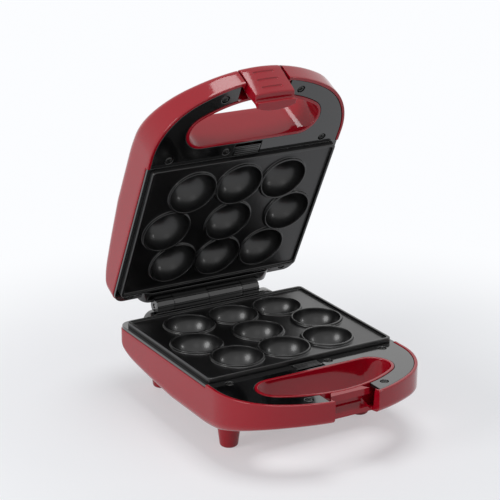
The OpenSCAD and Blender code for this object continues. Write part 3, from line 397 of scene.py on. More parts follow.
def housing_points(s):
    """A housing as rows of points, one column for each outline point, in a loop: the rim, the wall, the
    shoulder, the broad face, the hand opening's wall with its lip, and the same way back inside. An edge
    of radius f is the quarter circle f - f cos a, f - f sin a."""
    o = outline(s)
    p, n = o[:, :2], o[:, 2:]
    x, y = p.T
    back_edge = (n[:, 1] > 0.999) & (np.abs(x) < s.notch_half)
    top = np.where(back_edge, -s.notch_drop, np.where(y < -s.rim_step, -s.rim_drop, -s.side_drop))
    solid = (y < 0) & (np.abs(x) < s.gap_width / 2 + s.wall)
    depth, r = face_depth(y, s), shoulder(y, s)
    wall = s.wall
    inner_rim, outer_rim, fillet, lip_edge, lip_inner = 0.4, 0.8, 2.0, 0.6, 0.3
    rows = []

    def ring(inset, z):
        rows.append(np.c_[p - n * np.broadcast_to(inset, x.shape)[:, None], np.broadcast_to(z, x.shape)])

    def line(a, b, za, zb, count, face=None):
        for t in np.linspace(0, 1, count + 2)[1:-1]:
            q = a + (b - a) * t
            z = za + (zb - za) * t if face is None else face(q)
            rows.append(np.c_[q, z])

    def outer_face(q):
        return face_height(q[:, 0], q[:, 1], s, 0)

    def inner_face(q):
        return face_height(q[:, 0], q[:, 1], s, wall)

    for a in np.radians([0, 30, 60, 90]):
        ring(wall - inner_rim + inner_rim * math.cos(a), top - inner_rim + inner_rim * math.sin(a))
    for a in np.radians([90, 67.5, 45, 22.5, 0]):
        ring(outer_rim - outer_rim * math.cos(a), top - outer_rim + outer_rim * math.sin(a))
    z0, z1 = top - outer_rim, r - depth
    for t in np.linspace(0, 1, 9)[1:-1]:
        ring(0, z0 + (z1 - z0) * t)
    for a in np.radians(np.linspace(0, 90, 11)):
        ring(r * (1 - math.cos(a)), r * (1 - math.sin(a)) - depth)

    outer_edge = rows[-1][:, :2]
    hole_edge = opening_points(s, p, 0)
    away = hole_edge - opening_points(s, p, 1)
    away /= np.hypot(*away.T)[:, None]
    hole_z = outer_face(hole_edge - away * fillet)
    line(outer_edge, hole_edge - away * fillet, 0, 0, 44, outer_face)
    for a in np.radians([90, 67.5, 45, 22.5, 0]):
        rows.append(np.c_[hole_edge - away * fillet * (1 - math.cos(a)), hole_z + fillet * (1 - math.sin(a))])
    lip = -s.rim_drop
    line(hole_edge, hole_edge, hole_z + fillet, np.full(len(x), lip - lip_edge), 6)
    for a in np.radians([0, 30, 60, 90]):
        z = lip - lip_edge + lip_edge * math.sin(a)
        rows.append(np.c_[hole_edge - away * lip_edge * (1 - math.cos(a)), np.full(len(x), z)])
    inner_hole = opening_points(s, p, wall)
    for a in np.radians([90, 45, 0]):
        z = lip - lip_inner + lip_inner * math.sin(a)
        rows.append(np.c_[inner_hole + away * lip_inner * (1 - math.cos(a)), np.full(len(x), z)])
    hidden = len(rows)
    inner_r = np.maximum(r - wall, 0.5)
    inner_edge = p - n * (wall + inner_r)[:, None]
    z_in = inner_face(inner_hole)
    line(inner_hole, inner_hole, np.full(len(x), lip - lip_inner), z_in, 3)
    rows.append(np.c_[inner_hole, z_in])
    line(inner_hole, inner_edge, 0, 0, 16, inner_face)
    for a in np.radians(np.linspace(90, 0, 6)):
        ring(wall + inner_r * (1 - math.cos(a)), wall + inner_r * (1 - math.sin(a)) - depth)
    z1 = wall + inner_r - depth
    for t in np.linspace(0, 1, 5)[1:-1]:
        ring(wall, z1 + (top - inner_rim - z1) * t)
    rows = np.array(rows)
    # The handle's middle is solid, so that the latch gap can be cut into it
    a, b = rows[hidden - 1].copy(), rows[0].copy()
    count = len(rows) - hidden
    t = ((np.arange(count) + 1) / (count + 1))[:, None, None]
    flat = a + (b - a) * t
    flat[..., 2] = lip - lip_inner
    rows[hidden:, solid] = flat[:, solid]
    return rows


def build_housing(name, s, place):
    """A housing: its loop of rows closed into a shell, then the latch gap cut through the handle's
    middle."""
    rows = housing_points(s)
    faces = grid_faces(rows.shape[0], rows.shape[1], wrap_rows=True)
    obj = new_piece(name, place(rows.reshape(-1, 3)), [faces], red_plastic())
    g, y = s.gap_width / 2, s.gap_depth - s.front
    beyond = 20
    cut(obj, block((-g, -s.front - beyond, -3 * beyond), (g, y, beyond / 2), place, 0.6))
    return obj


def cut_bar(obj, s):
    """Cuts the groove under the base's bar that leaves a catching edge for the latch's hook."""
    g, y = s.gap_width / 2, s.gap_depth - s.front
    reach, under, deep, edge, before = 5, 20.6, 15.4, 10.2, 30
    loop = [(y - before, -under), (y, -under), (y + reach, -deep), (y + reach, -edge), (y - before, -edge)]
    cut(obj, prism(loop, -g, g, to_base))


class CAKEPOP_OT_housings(bpy.types.Operator):
    """Builds the red housings of the base and the lid"""
    bl_idname = "cakepop.housings"
    bl_label = "Housings"

    def execute(self, context):
        s = context.scene.cake_housing
        for half, level, place in HALVES:
            obj = build_housing(half + "_shell", s, place)
            if half == "base":
                cut_bar(obj, s)
                for x, y in feet_places():
                    add_foot_pad(obj, x, y, s)
                add_collar(obj, s)
            smooth(obj, 38)
            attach(obj, half)
            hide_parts(level + "_housing")
        return {"FINISHED"}


def revolve(profile, n=64):
    """A profile of radius r and height z turned about Z: the points r cos a, r sin a, z, and their
    faces."""
    a = np.linspace(0, 2 * math.pi, n, endpoint=False)
    r, z = np.asarray(profile, float).T
    points = np.stack([r[:, None] * np.cos(a), r[:, None] * np.sin(a), z[:, None].repeat(n, 1)], -1)
    return points.reshape(-1, 3), grid_faces(len(r), n)


def add_mesh(obj, points, faces):
    """Adds a closed mesh, in metres, to an object's own mesh."""
    other = new_piece("added", points, faces, None)
    mesh = obj.data
    joined = join_arrays(mesh, other.data)
    obj.data = joined
    for m in mesh.materials:
        joined.materials.append(m)
    bpy.data.objects.remove(other)


def join_arrays(a, b):
    """One mesh of two meshes' vertices and faces."""
    bm = bmesh.new()
    bm.from_mesh(a)
    bm.from_mesh(b)
    mesh = bpy.data.meshes.new(a.name)
    bm.to_mesh(mesh)
    bm.free()
    return mesh


def prism(loop, x0, x1, place):
    """A closed loop of y and z carried straight along X, as a tool to cut with."""
    n = len(loop)
    points = np.concatenate([np.c_[np.full(n, x), loop] for x in (x0, x1)])
    return new_piece("cutter", place(points), tube_faces(n), None)


def feet_places():
    """The feet's places in the half frame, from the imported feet."""
    s = bpy.context.scene.cake_housing
    places = []
    for name in FEET:
        lo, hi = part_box(name)
        centre = (np.array(lo) + np.array(hi)) / 2 / MM
        places.append((centre[0], centre[1] - HINGE[1] + s.hinge_back))
    return places


def add_foot_pad(obj, x, y, s):
    """The pad that a foot stands against, from inside the housing down to the foot: straight, with a
    small edge, and flared where it leaves the sloping face in front."""
    top, z, r = -float(face_depth(np.array(y), s)) - 0.5, FOOT_TOP, 10.0
    flare = 3.5 if y < 0 else 0.0
    profile = [
        (r + flare, top + 4), (r + 0.34 * flare, top - 0.6), (r + 0.11 * flare, top - 1.6), (r, top - 3),
        (r, z + 0.5), (r - 0.15, z + 0.15), (r - 0.5, z)]
    points, faces = turned(profile)
    add_mesh(obj, to_base(points + [x, y, 0]), [f[:, ::-1] for f in faces])


def add_collar(obj, s):
    """The round collar of the cord inlet, with its open bore."""
    n = 64
    inner, outer, y1, y0, z = 4.2, 6.8, s.back - 0.5, s.back - 12.5, -27.0
    profile = [(inner, y0), (inner, y1 - 0.5), (inner + 0.15, y1 - 0.15), (inner + 0.5, y1),
               (outer - 0.9, y1), (outer - 0.3, y1 - 0.3), (outer, y1 - 0.9), (outer, y0)]
    points, _ = revolve(profile, n)
    points = np.c_[points[:, 0], points[:, 2], points[:, 1] + z]
    add_mesh(obj, to_base(points), [grid_faces(len(profile), n, wrap_rows=True)])


# Flat and turned forms

def merge(*parts):
    """One array of points and one list of faces from several (points, faces) pairs."""
    points, faces, start = [], [], 0
    for part_points, part_faces in parts:
        points.append(part_points)
        faces += [f + start for f in part_faces]
        start += len(part_points)
    return np.concatenate(points), faces


def turned(profile, n=64, closed=False):
    """A profile of radius and height turned about Z: closed makes a ring of it, and otherwise both ends
    get a cap."""
    points, faces = revolve(profile, n)
    if closed:
        return points, [grid_faces(len(profile), n, wrap_rows=True)]
    last = len(points) - n
    return points, [faces, np.arange(n)[::-1][None], np.arange(last, last + n)[None]]


def offsets(loop):
    """For a closed counter-clockwise loop with edge normals a and b beside a point, how the point moves
    when both edges move outward by one: (a + b) / (1 + a . b)."""
    before, after = loop - np.roll(loop, 1, 0), np.roll(loop, -1, 0) - loop
    a = np.c_[before[:, 1], -before[:, 0]] / np.hypot(*before.T)[:, None]
    b = np.c_[after[:, 1], -after[:, 0]] / np.hypot(*after.T)[:, None]
    return (a + b) / np.maximum(1 + (a * b).sum(1), 0.3)[:, None]


def rounded(corners, radii, n=6):
    """A closed loop through corners, each turned into an arc of n steps that touches both its edges."""
    corners = np.asarray(corners, float)
    parts = []
    for k, r in enumerate(radii):
        p = corners[k]
        a, b = corners[k - 1] - p, corners[(k + 1) % len(corners)] - p
        a, b = a / np.hypot(*a), b / np.hypot(*b)
        half = math.acos(float(np.clip(a @ b, -1, 1))) / 2
        if r == 0 or half > 1.56:
            parts.append(p[None])
            continue
        centre = p + (a + b) / np.hypot(*(a + b)) * r / math.sin(half)
        start, end = p + a * r / math.tan(half) - centre, p + b * r / math.tan(half) - centre
        a0 = math.atan2(start[1], start[0])
        turn = (math.atan2(end[1], end[0]) - a0 + math.pi) % (2 * math.pi) - math.pi
        parts.append(arc(*centre, r, math.degrees(a0), math.degrees(a0 + turn), n))
    return np.concatenate(parts)


def refine(loop, size):
    """The loop with its long edges divided into steps no longer than size."""
    after = np.roll(loop, -1, 0)
    counts = np.maximum(np.ceil(np.hypot(*(after - loop).T) / size).astype(int), 1)
    which = np.repeat(np.arange(len(loop)), counts)
    t = (np.arange(len(which)) - np.repeat(np.cumsum(counts) - counts, counts)) / counts[which]
    return loop[which] + (after - loop)[which] * t[:, None]


def fill(loops, extra=None, lines=None):
    """Triangles between flat closed loops, the first outside and the others holes, through any extra
    points, as counter-clockwise indices into all the points: a constrained Delaunay triangulation, kept
    where a ray from a triangle's middle crosses the loops an odd number of times."""
    points = np.concatenate(loops if extra is None else [*loops, extra])
    ends = np.cumsum([len(loop) for loop in loops])
    k = np.arange(ends[-1])
    following = k + 1
    following[ends - 1] = ends - [len(loop) for loop in loops]
    edges = np.c_[k, following]
    every = edges if lines is None else np.concatenate([edges, lines + ends[-1]])
    _, _, faces, origin, _, _ = delaunay_2d_cdt(points.tolist(), every.tolist(), [], 0, 1e-9)
    source = np.array([o[0] if o else 0 for o in origin])
    triangles = source[np.array(faces)]
    x, y = points[triangles].mean(1).T[..., None]
    (x0, y0), (x1, y1) = points[edges[:, 0]].T, points[edges[:, 1]].T
    rising = (y0 > y) != (y1 > y)
    with np.errstate(divide="ignore", invalid="ignore"):
        crossing = rising & (x < x0 + (y - y0) * (x1 - x0) / (y1 - y0))
    triangles = triangles[crossing.sum(1) % 2 == 1]
    a, b, c = (points[triangles[:, i]] for i in range(3))
    area = (b - a)[:, 0] * (c - a)[:, 1] - (b - a)[:, 1] * (c - a)[:, 0]
    return np.where((area < 0)[:, None], triangles[:, ::-1], triangles)[np.abs(area) > 1e-10]


def slab(loops, z0, z1, top=0.4, bottom=0.0, rows=2):
    """A flat form between two heights, with rounded edges: each loop's wall is a profile of inset and
    height, from a quarter arc at the bottom over a straight wall to a quarter arc at the top, and both
    faces are filled."""
    a = np.radians(np.linspace(0, 90, 5))
    profile = []
    if bottom:
        profile += [(bottom + 0.2, z0), *zip(bottom * (1 - np.sin(a)), z0 + bottom * (1 - np.cos(a)))]
    else:
        profile.append((0.0, z0))
    profile += [(0.0, z) for z in np.linspace(z0 + bottom, z1 - top, rows + 1)[1:-1]]
    profile += [*zip(top * (1 - np.cos(a)), z1 - top * (1 - np.sin(a))), (top + 0.2, z1)]
    inset, z = np.array(profile).T
    points, faces, first, last, start = [], [], [], [], 0
    for loop in loops:
        n = len(loop)
        plan = loop[None] - offsets(loop)[None] * inset[:, None, None]
        height = np.broadcast_to(z[:, None, None], (len(z), n, 1))
        points.append(np.concatenate([plan, height], 2).reshape(-1, 3))
        faces.append(grid_faces(len(z), n) + start)
        first.append(np.arange(n) + start)
        last.append(np.arange(n) + start + (len(z) - 1) * n)
        start += len(z) * n
    points = np.concatenate(points)
    first, last = np.concatenate(first), np.concatenate(last)
    ends = np.cumsum([len(loop) for loop in loops])
    cap = fill([part[:, :2] for part in np.split(points[last], ends[:-1])])
    return points, [*faces, last[cap], first[cap][:, ::-1]]


def circle(x, y, r, n=32):
    """A clockwise circle, as a hole's loop."""
    return arc(x, y, r, 360, 360 / n, n - 1)


# The plates

def cup_places(s):
    """The centres of the nine cups."""
    k = np.array([-1, 0, 1])
    outer = np.c_[k * s.outer_pitch, s.row_pitch + s.bulge * (k == 0)]
    return np.concatenate([np.c_[k * s.middle_pitch, 0 * k], outer, outer * [1, -1]])


def cell_points(centres, radii, n):
    """Rings of points round each centre, where that centre is the nearest, with the lines that join them,
    and points on the borders between two centres' cells."""
    a = np.linspace(0, 2 * math.pi, n, endpoint=False)
    ring = np.asarray(radii)[:, None, None] * np.stack([np.cos(a), np.sin(a)], -1)
    points = centres[:, None, None] + ring
    away = np.hypot(*(points[..., None, :] - centres).T).T
    own = np.asarray(radii)[None, :, None]
    others = np.where(np.eye(len(centres), dtype=bool)[:, None, None], np.inf, away)
    keep = others.min(-1) > own + 0.12
    index = np.full(keep.shape, -1)
    index[keep] = np.arange(keep.sum())
    after = np.roll(index, -1, 2)
    both = (index >= 0) & (after >= 0)
    lines = np.c_[index[both], after[both]]
    found = [points[keep]]
    i, j = np.triu_indices(len(centres), 1)
    gap = centres[j] - centres[i]
    apart = np.hypot(*gap.T)
    near = apart < 2 * max(radii)
    middle, along, apart = ((centres[i] + centres[j]) / 2)[near], gap[near], apart[near]
    t = np.linspace(-1, 1, 61)
    reach = np.sqrt(max(radii) ** 2 - apart ** 2 / 4)
    across = np.c_[-along[:, 1], along[:, 0]] / apart[:, None]
    border = middle[:, None] + across[:, None] * (t * reach[:, None])[..., None]
    border = border.reshape(-1, 2)
    distance = np.sort(np.hypot(*(border[:, None] - centres).T).T, 1)
    found.append(border[distance[:, 1] - distance[:, 0] < 1e-6])
    return np.concatenate(found), lines


def rectangle_ring(half_w, half_d, r, side=14):
    """A rectangle with rounded corners as a loop: arcs of 8 steps, and sides of equal steps."""
    parts = []
    for k, (x, y) in enumerate(((1, -1), (1, 1), (-1, 1), (-1, -1))):
        parts.append(arc(x * (half_w - r), y * (half_d - r), r, 90 * (k - 1), 90 * k, 8))
        end = parts[-1][-1]
        straight = 2 * ((half_d if k % 2 == 0 else half_w) - r)
        pace = np.array([(0, 1), (-1, 0), (0, -1), (1, 0)][k]) * straight / side
        parts.append(end + pace * np.arange(1, side)[:, None])
    return np.concatenate(parts)


def plate_profile(s):
    """The profile of a plate's rim and skirt, as inset and height, from the field outwards and under
    again: a fillet, the rim's two rounded edges, the skirt, and the step to the underside."""
    top, w = -s.top, s.rim_width
    field, seat = top - s.rim_height, top - s.skirt
    under = field - s.thickness
    fillet, inner, outer, edge = 0.7, 0.5, 0.6, 0.3
    a = np.radians(np.linspace(0, 90, 5))
    return [
        (w + fillet + 0.4, field), (w + fillet, field),
        *zip(w + fillet * (1 - np.sin(a[1:])), field + fillet * (1 - np.cos(a[1:]))),
        *zip(w - inner * (1 - np.cos(a)), top - inner * (1 - np.sin(a))),
        *zip(outer * (1 - np.sin(a)), top - outer * (1 - np.cos(a))),
        (0.0, (top + seat) / 2), (0.0, seat + edge), (0.3 * edge, seat + 0.3 * edge), (edge, seat),
        (w - edge, seat), (w, seat + 0.2), (w + 0.4, under), (w + 0.8, under)]


def plate_rings(s):
    """The profile carried round the plate, one ring of points for each point of the profile; the corners'
    radius falls with the inset as far as the field's edge."""
    rings = []
    for d, z in plate_profile(s):
        corner = s.corner - 0.4 * min(d, s.rim_width + 1)
        ring = rectangle_ring(s.width / 2 - d, s.depth / 2 - d, corner)
        rings.append(np.c_[ring, np.full(len(ring), z)])
    return rings


def plate_mesh(s):
    """A cast plate. Inside a cup the surface is the sphere z = top - R cos t at radius R sin t. Outside
    it, the height depends on the distance d to the nearest cup: a rounded lip at the rim's height, then a
    fillet down to the field. Underneath, the height is the lower of the flat underside and the cups'
    outer spheres."""
    top, r = -s.top, s.cup_radius
    under = top - s.rim_height - s.thickness
    start = 0.25
    centres = cup_places(s)
    n = 96
    rings = plate_rings(s)
    rim = np.concatenate(rings), [grid_faces(len(rings), len(rings[0]))[:, ::-1]]

    lip = np.array([
        (0.07, -0.09), (0.25, 0), (0.6, 0), (1.0, 0), (1.28, -0.1), (1.44, -0.4), (1.5, -1.1), (1.58, -1.5),
        (1.78, -1.82), (2.15, -1.98), (2.6, -2.0), (3.0, -2.0)])
    circles = [circle(x, y, r, n) for x, y in centres]
    extra, lines = cell_points(centres, r + lip[:, 0], n)
    triangles = fill([rings[0][:, :2], *circles], extra, lines)
    d = np.hypot(*(extra[:, None] - centres).T).T.min(1) - r
    height = top + np.interp(d, np.r_[0, lip[:, 0]], np.r_[-start, lip[:, 1] * s.rim_height / 2])
    edges = [np.c_[c, np.full(n, top - start)] for c in circles]
    flat = np.concatenate([rings[0], *edges, np.c_[extra, height]])

    t = np.linspace(math.acos(start / r), 0, 25)[1:-1]
    bowls = []
    for middle, c, edge in zip(centres, circles, edges):
        rows = [np.c_[middle + (c - middle) * math.sin(v), np.full(n, top - r * math.cos(v))] for v in t]
        points = np.concatenate([edge, *rows, [[*middle, top - r]]])
        fan = np.c_[np.roll(np.arange(n), -1), np.arange(n)] + len(t) * n
        bowls.append((points, [grid_faces(len(t) + 1, n), np.c_[fan[:, ::-1], np.full(n, len(points) - 1)]]))

    radii = np.r_[np.linspace(2, 18, 9), 19.3, 20.3, 20.9, 21.2, 21.5, 22.2]
    extra, lines = cell_points(centres, radii, n // 2)
    extra = np.concatenate([extra, centres])
    below = fill([rings[-1][:, :2]], extra, lines)
    d = np.hypot(*(extra[:, None] - centres).T).T.min(1)
    outer = r + s.cup_wall
    height = np.minimum(under, top - np.sqrt(np.maximum(outer ** 2 - d ** 2, 0)))
    base = np.concatenate([rings[-1], np.c_[extra, height]])
    return merge(rim, (flat, [triangles]), (base, [below[:, ::-1]]), *bowls)


def weld(obj, distance=2e-6):
    """Joins the points that meet, so that the surface is closed."""
    bm = bmesh.new()
    bm.from_mesh(obj.data)
    bmesh.ops.remove_doubles(bm, verts=bm.verts, dist=distance)
    bmesh.ops.recalc_face_normals(bm, faces=bm.faces)
    bm.to_mesh(obj.data)
    bm.free()


class CAKEPOP_OT_plates(bpy.types.Operator):
    """Builds the two non-stick plates with their cups"""
    bl_idname = "cakepop.plates"
    bl_label = "Plates"

    def execute(self, context):
        points, faces = plate_mesh(context.scene.cake_plate)
        for half, level, place in HALVES:
            obj = new_piece(half + "_plate", place(points), faces, non_stick(), half, "non_stick")
            weld(obj)
            smooth(obj, 50)
            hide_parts(level + "_plate")
        return {"FINISHED"}


# The decks

def deck_screws(s, p):
    """The places of a deck's screws and the heights of their heads: five round the hand opening and two
    behind."""
    h = bpy.context.scene.cake_housing
    sunk = 0.2
    front = [(-s.side_screw, -s.screw_row), (s.side_screw, -s.screw_row), (s.middle_screw, -s.screw_row),
             (-s.tip_screw, -s.tip_row), (s.tip_screw, -s.tip_row)]
    x, y = h.half_width - s.back_screw_side, p.depth / 2 + s.back_screw
    return [(*at, -s.top - sunk) for at in front] + [(-x, y, -s.seat - sunk), (x, y, -s.seat - sunk)]


def deck_outline(h, inset):
    """The housing's outline, drawn in by an inset."""
    o = outline(h)
    return o[:, :2] - o[:, 2:] * inset


def horseshoe(s, p, h):
    """The loop of a deck: outside along the housing, inside round the hand opening, open at the latch gap
    and notched for the catch. Where the gap's side x meets an arc of radius R, y is R - front - sqrt(R^2
    - x^2) from the front's centre."""
    back = -p.depth / 2 - PLATE_GAP
    gap = h.gap_width / 2 + s.inset
    q = deck_outline(h, s.inset)
    right = q[(q[:, 0] > gap) & (q[:, 1] < back - 0.3)]
    left = right[::-1] * [-1, 1]
    side = right[-1, 0]
    half = s.catch_width / 2 + CATCH_GAP
    window = back - s.catch_depth - s.catch_travel - 2 * CATCH_GAP
    notch = [(half, back), (half, window), (-half, window), (-half, back)]
    hole = opening_outline(h, s.inset)[::-1]
    middle = (np.abs(hole[:, 0]) < gap) & (hole[:, 1] < -h.opening_back - h.opening_end)
    first = int(np.flatnonzero(middle & ~np.roll(middle, -1))[0]) + 1
    hole = np.roll(hole, -first, 0)
    hole = hole[:len(hole) - middle.sum()]
    centre = h.front_radius - h.front
    inner = centre - math.sqrt((h.front_radius - h.bar + s.inset) ** 2 - gap ** 2)
    outer = centre - math.sqrt((h.front_radius - s.inset) ** 2 - gap ** 2)
    return np.concatenate([
        [(gap, outer)], right, [(side, back)], notch, [(-side, back)], left, [(-gap, outer), (-gap, inner)],
        hole, [(gap, inner)]])


def knuckle_mesh(s, h, x0, x1):
    """A hinge knuckle and its arm: a circle joined to a square, carried along X, with the pin's bore."""
    y, r = h.hinge_back, s.knuckle
    back = h.back + 2
    meet = math.degrees(math.atan2(-math.sqrt(r * r - (y - back) ** 2), back - y)) + 360
    loop = np.concatenate([[(back, -r)], arc(y, 0, r, -90, meet, 40)])
    points, faces = slab([loop, circle(y, 0, PIN_BORE)], x0, x1, 0.45, 0.45)
    return points[:, [2, 0, 1]], faces


def deck_mesh(s, p, h):
    """A deck with its ledge and its hinge block, each a flat form with rounded edges."""
    holes = [circle(x, y, s.head + 0.3) for x, y, _ in deck_screws(s, p)]
    edge = 0.35
    top = slab([horseshoe(s, p, h), *holes[:5]], -s.top - s.thickness, -s.top, edge)
    back = -p.depth / 2 - PLATE_GAP
    q = deck_outline(h, 0.8)
    q = q[q[:, 1] > back + 0.2]
    q = np.concatenate([[(q[0, 0], back)], q, [(q[-1, 0], back)]])
    x, y = p.width / 2 - s.ledge, p.depth / 2 - s.ledge
    window = np.array([(-x, -y), (-x, y), (x, y), (x, -y)])
    ledge = slab([q, window, *holes[5:]], -h.side_drop, -s.seat, edge, 0.2)
    w, r, block_edge = s.block_half, 0.66 * s.block_depth, 0.5
    corners = [(-w, -s.block_depth), (w, -s.block_depth), (w, -1), (-w, -1)]
    face = rounded(corners, [block_edge, block_edge, r, r], 12)
    y0, y1 = p.depth / 2 + 2.5, h.back + 3
    points, faces = slab([face], -y1, -y0, block_edge, block_edge)
    return merge(top, ledge), (points[:, [0, 2, 1]] * [1, -1, 1], faces)


class CAKEPOP_OT_decks(bpy.types.Operator):
    """Builds the black decks with their ledges, hinge blocks and knuckles"""
    bl_idname = "cakepop.decks"
    bl_label = "Decks"

    def execute(self, context):
        s, p, h = context.scene.cake_deck, context.scene.cake_plate, context.scene.cake_housing
        flat, hinge = deck_mesh(s, p, h)
        gap, room = 0.2, 0.5
        spans = [(-s.hinge_half, -s.knuckle_half - gap), (gap, s.knuckle_half - gap)]
        knuckles = merge(*[knuckle_mesh(s, h, *span) for span in spans])
        r = s.knuckle + 0.6
        for half, level, place in HALVES:
            obj = new_piece(half + "_deck", place(hinge[0]), hinge[1], black_plastic())
            for x0, x1 in spans:
                rod, faces = turned([(r, -x1 - room), (r, -x0 + room)])
                cut(obj, new_piece("cutter", place(rod[:, [2, 0, 1]] + [0, h.hinge_back, 0]), faces, None))
            add_mesh(obj, place(flat[0]), flat[1])
            add_mesh(obj, place(knuckles[0]), knuckles[1])
            smooth(obj, 35)
            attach(obj, half)
            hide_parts(level + "_deck")
        return {"FINISHED"}


def catch_mesh(s, p):
    """A catch's pad with its four ribs, each a flat form with rounded edges."""
    y1 = -p.depth / 2 - PLATE_GAP - 0.5
    y0, w = y1 - s.catch_depth, s.catch_width / 2
    pad = slab([rounded([(-w, y0), (w, y0), (w, y1), (-w, y1)], [0.5] * 4)], -s.top - 4.3, -s.top, 0.3)
    ribs = []
    for i in range(4):
        y = y1 - 1.9 - i * (s.catch_depth - 2.8) / 3
        loop = rounded([(1 - w, y), (w - 1, y), (w - 1, y + 1), (1 - w, y + 1)], [0.3] * 4, 4)
        ribs.append(slab([loop], -s.top - 0.2, -s.top + 0.5, 0.25))
    return merge(pad, *ribs)


class CAKEPOP_OT_catches(bpy.types.Operator):
    """Builds the ribbed pads of the plates' release catches"""
    bl_idname = "cakepop.catches"
    bl_label = "Catches"

    def execute(self, context):
        points, faces = catch_mesh(context.scene.cake_deck, context.scene.cake_plate)
        for half, level, place in HALVES:
            body = level + "_release"
            obj = new_piece(half + "_catch", place(points), faces, black_plastic(), body, "black_plastic", 35)
            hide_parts(level + "_catch")
        return {"FINISHED"}


def screw_mesh(s):
    """A screw: a domed head on a straight shank, as a turned profile with its head's top at z = 0."""
    r, shank, end = s.head, 1.5, -9.5
    return turned([
        (0.01, end), (0.9, end + 0.2), (shank, end + 1.1), (shank, -1.5), (r, -1.5), (r, -0.95),
        (r - 0.12, -0.6), (r - 0.5, -0.25), (r - 1.2, -0.06), (0.6, 0.0), (0.01, 0.0)], 40)


def cross_tool():
    """The cutter of a cross recess: a cross of arms 2 w wide and 2 l long, narrowed towards its depth d."""
    w, l, d = 0.42, 1.95, 1.05
    arm = np.array([(l, -w), (l, w), (w, w)])
    quarter_turn = np.array([[0, 1], [-1, 0]])
    loop = np.concatenate([arm @ np.linalg.matrix_power(quarter_turn, k) for k in range(4)])
    n = len(loop)
    points = np.concatenate([np.c_[loop * 0.55, np.full(n, -d)], np.c_[loop * 1.1, np.full(n, 0.3)]])
    return new_piece("cutter", points, tube_faces(n), None)


def mesh_arrays(mesh):
    """A mesh's points, and its faces as one array for each number of corners."""
    points = np.empty(len(mesh.vertices) * 3, np.float32)
    mesh.vertices.foreach_get("co", points)
    corners = np.empty(len(mesh.loops), np.int32)
    mesh.loops.foreach_get("vertex_index", corners)
    sizes = np.empty(len(mesh.polygons), np.int32)
    mesh.polygons.foreach_get("loop_total", sizes)
    starts = np.cumsum(sizes) - sizes
    faces = [corners[(starts[sizes == k])[:, None] + np.arange(k)] for k in np.unique(sizes)]
    return points.reshape(-1, 3), faces


class CAKEPOP_OT_screws(bpy.types.Operator):
    """Builds the decks' cross-headed screws"""
    bl_idname = "cakepop.screws"
    bl_label = "Screws"

    def execute(self, context):
        s, p = context.scene.cake_deck, context.scene.cake_plate
        one = new_piece("screw", *screw_mesh(s), None)
        cut(one, cross_tool())
        screw, screw_faces = mesh_arrays(one.data)
        bpy.data.objects.remove(one)
        parts = []
        for (x, y, z), a in zip(deck_screws(s, p), np.radians(TURNS)):
            c, d = math.cos(a), math.sin(a)
            parts.append((screw @ np.array([[c, d, 0], [-d, c, 0], [0, 0, 1]]) + [x, y, z], screw_faces))
        points, faces = merge(*parts)
        for half, level, place in HALVES:
            obj = new_piece(half + "_screws", place(points), faces, screw_steel(), half, "screw_steel", 32)
            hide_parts(level + "_deck_screws")
        return {"FINISHED"}


# The latch

def latch_mesh(s, h):
    """The latch on the shut maker: its side profile of y and z carried across X. The outer face is bent
    to the handle's arc, y + R - sqrt(R^2 - x^2), the lip is bowed the same way with its own radius, the
    hook grows narrower, and the three grooves are the depth sqrt(g^2 - d^2) at a distance d from a
    groove's line."""
    out, bar = -h.front + 0.1, -h.front + h.gap_depth
    inner, lip, t = bar - 0.6, bar + s.reach, s.lip
    crease, hook = -s.crease, -s.hook
    corners = [
        (lip, hook + t, 0.4), (inner + 0.4, hook + t, 0.5), (inner, hook + t + 1.5, 0.5), (inner, 16.8, 3.0),
        (inner - 3.4, s.top, 1.5), (out, s.top, s.edge - 1), (out, s.top - s.edge - 1, 6.0),
        (out + s.crease_in, crease, 0.3), (out + s.crease_in + 0.6, crease - 0.9, 0.5),
        (out + 8.4, crease - 2.3, 1.6), (out + 8.6, hook + 2.1, 0.9), (out + 7.0, hook + 0.9, 0.4),
        (out + 7.1, hook, 0.4), (lip, hook, 0.9)]
    loop = refine(rounded([corner[:2] for corner in corners], [corner[2] for corner in corners], 8), 0.3)
    half = s.width / 2
    points, faces = slab([loop], -half, half, 0.6, 0.6, 90)
    y, z, x = points.T
    narrow = 1 - s.taper / half * np.clip((s.crease - z) / (s.crease + s.hook) - 0.3, 0, 1)
    x = x * narrow
    front = step(1 - (y - out) / 9)
    y = y + front * (h.front_radius - np.sqrt(h.front_radius ** 2 - x ** 2))
    bow = (half ** 2 + s.bow ** 2) / (2 * s.bow)
    bend = bow - np.sqrt(bow ** 2 - np.minimum(x ** 2, bow ** 2))
    y = y - np.clip((y - inner) / (lip - inner), 0, 1) * bend
    outside = points[:, 0] < out + s.crease_in + 0.4
    for i in range(3):
        line = s.top - (1.1 + i) * s.groove_pitch
        d2 = np.maximum(np.abs(x) - s.groove / 2, 0) ** 2 + (z - line) ** 2
        y = y + outside * 0.8 * np.sqrt(np.maximum(s.groove_radius ** 2 - d2, 0))
    return np.c_[x, y, z], faces


class CAKEPOP_OT_latch(bpy.types.Operator):
    """Builds the latch with its grip and hook"""
    bl_idname = "cakepop.latch"
    bl_label = "Latch"

    def execute(self, context):
        points, faces = latch_mesh(context.scene.cake_latch, context.scene.cake_housing)
        placed = to_lid(points * [-1, 1, -1])
        obj = new_piece("latch_grip", placed, faces, red_plastic(), "lid_latch", "red_plastic", 45)
        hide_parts("latch")
        return {"FINISHED"}


# The feet and the lenses

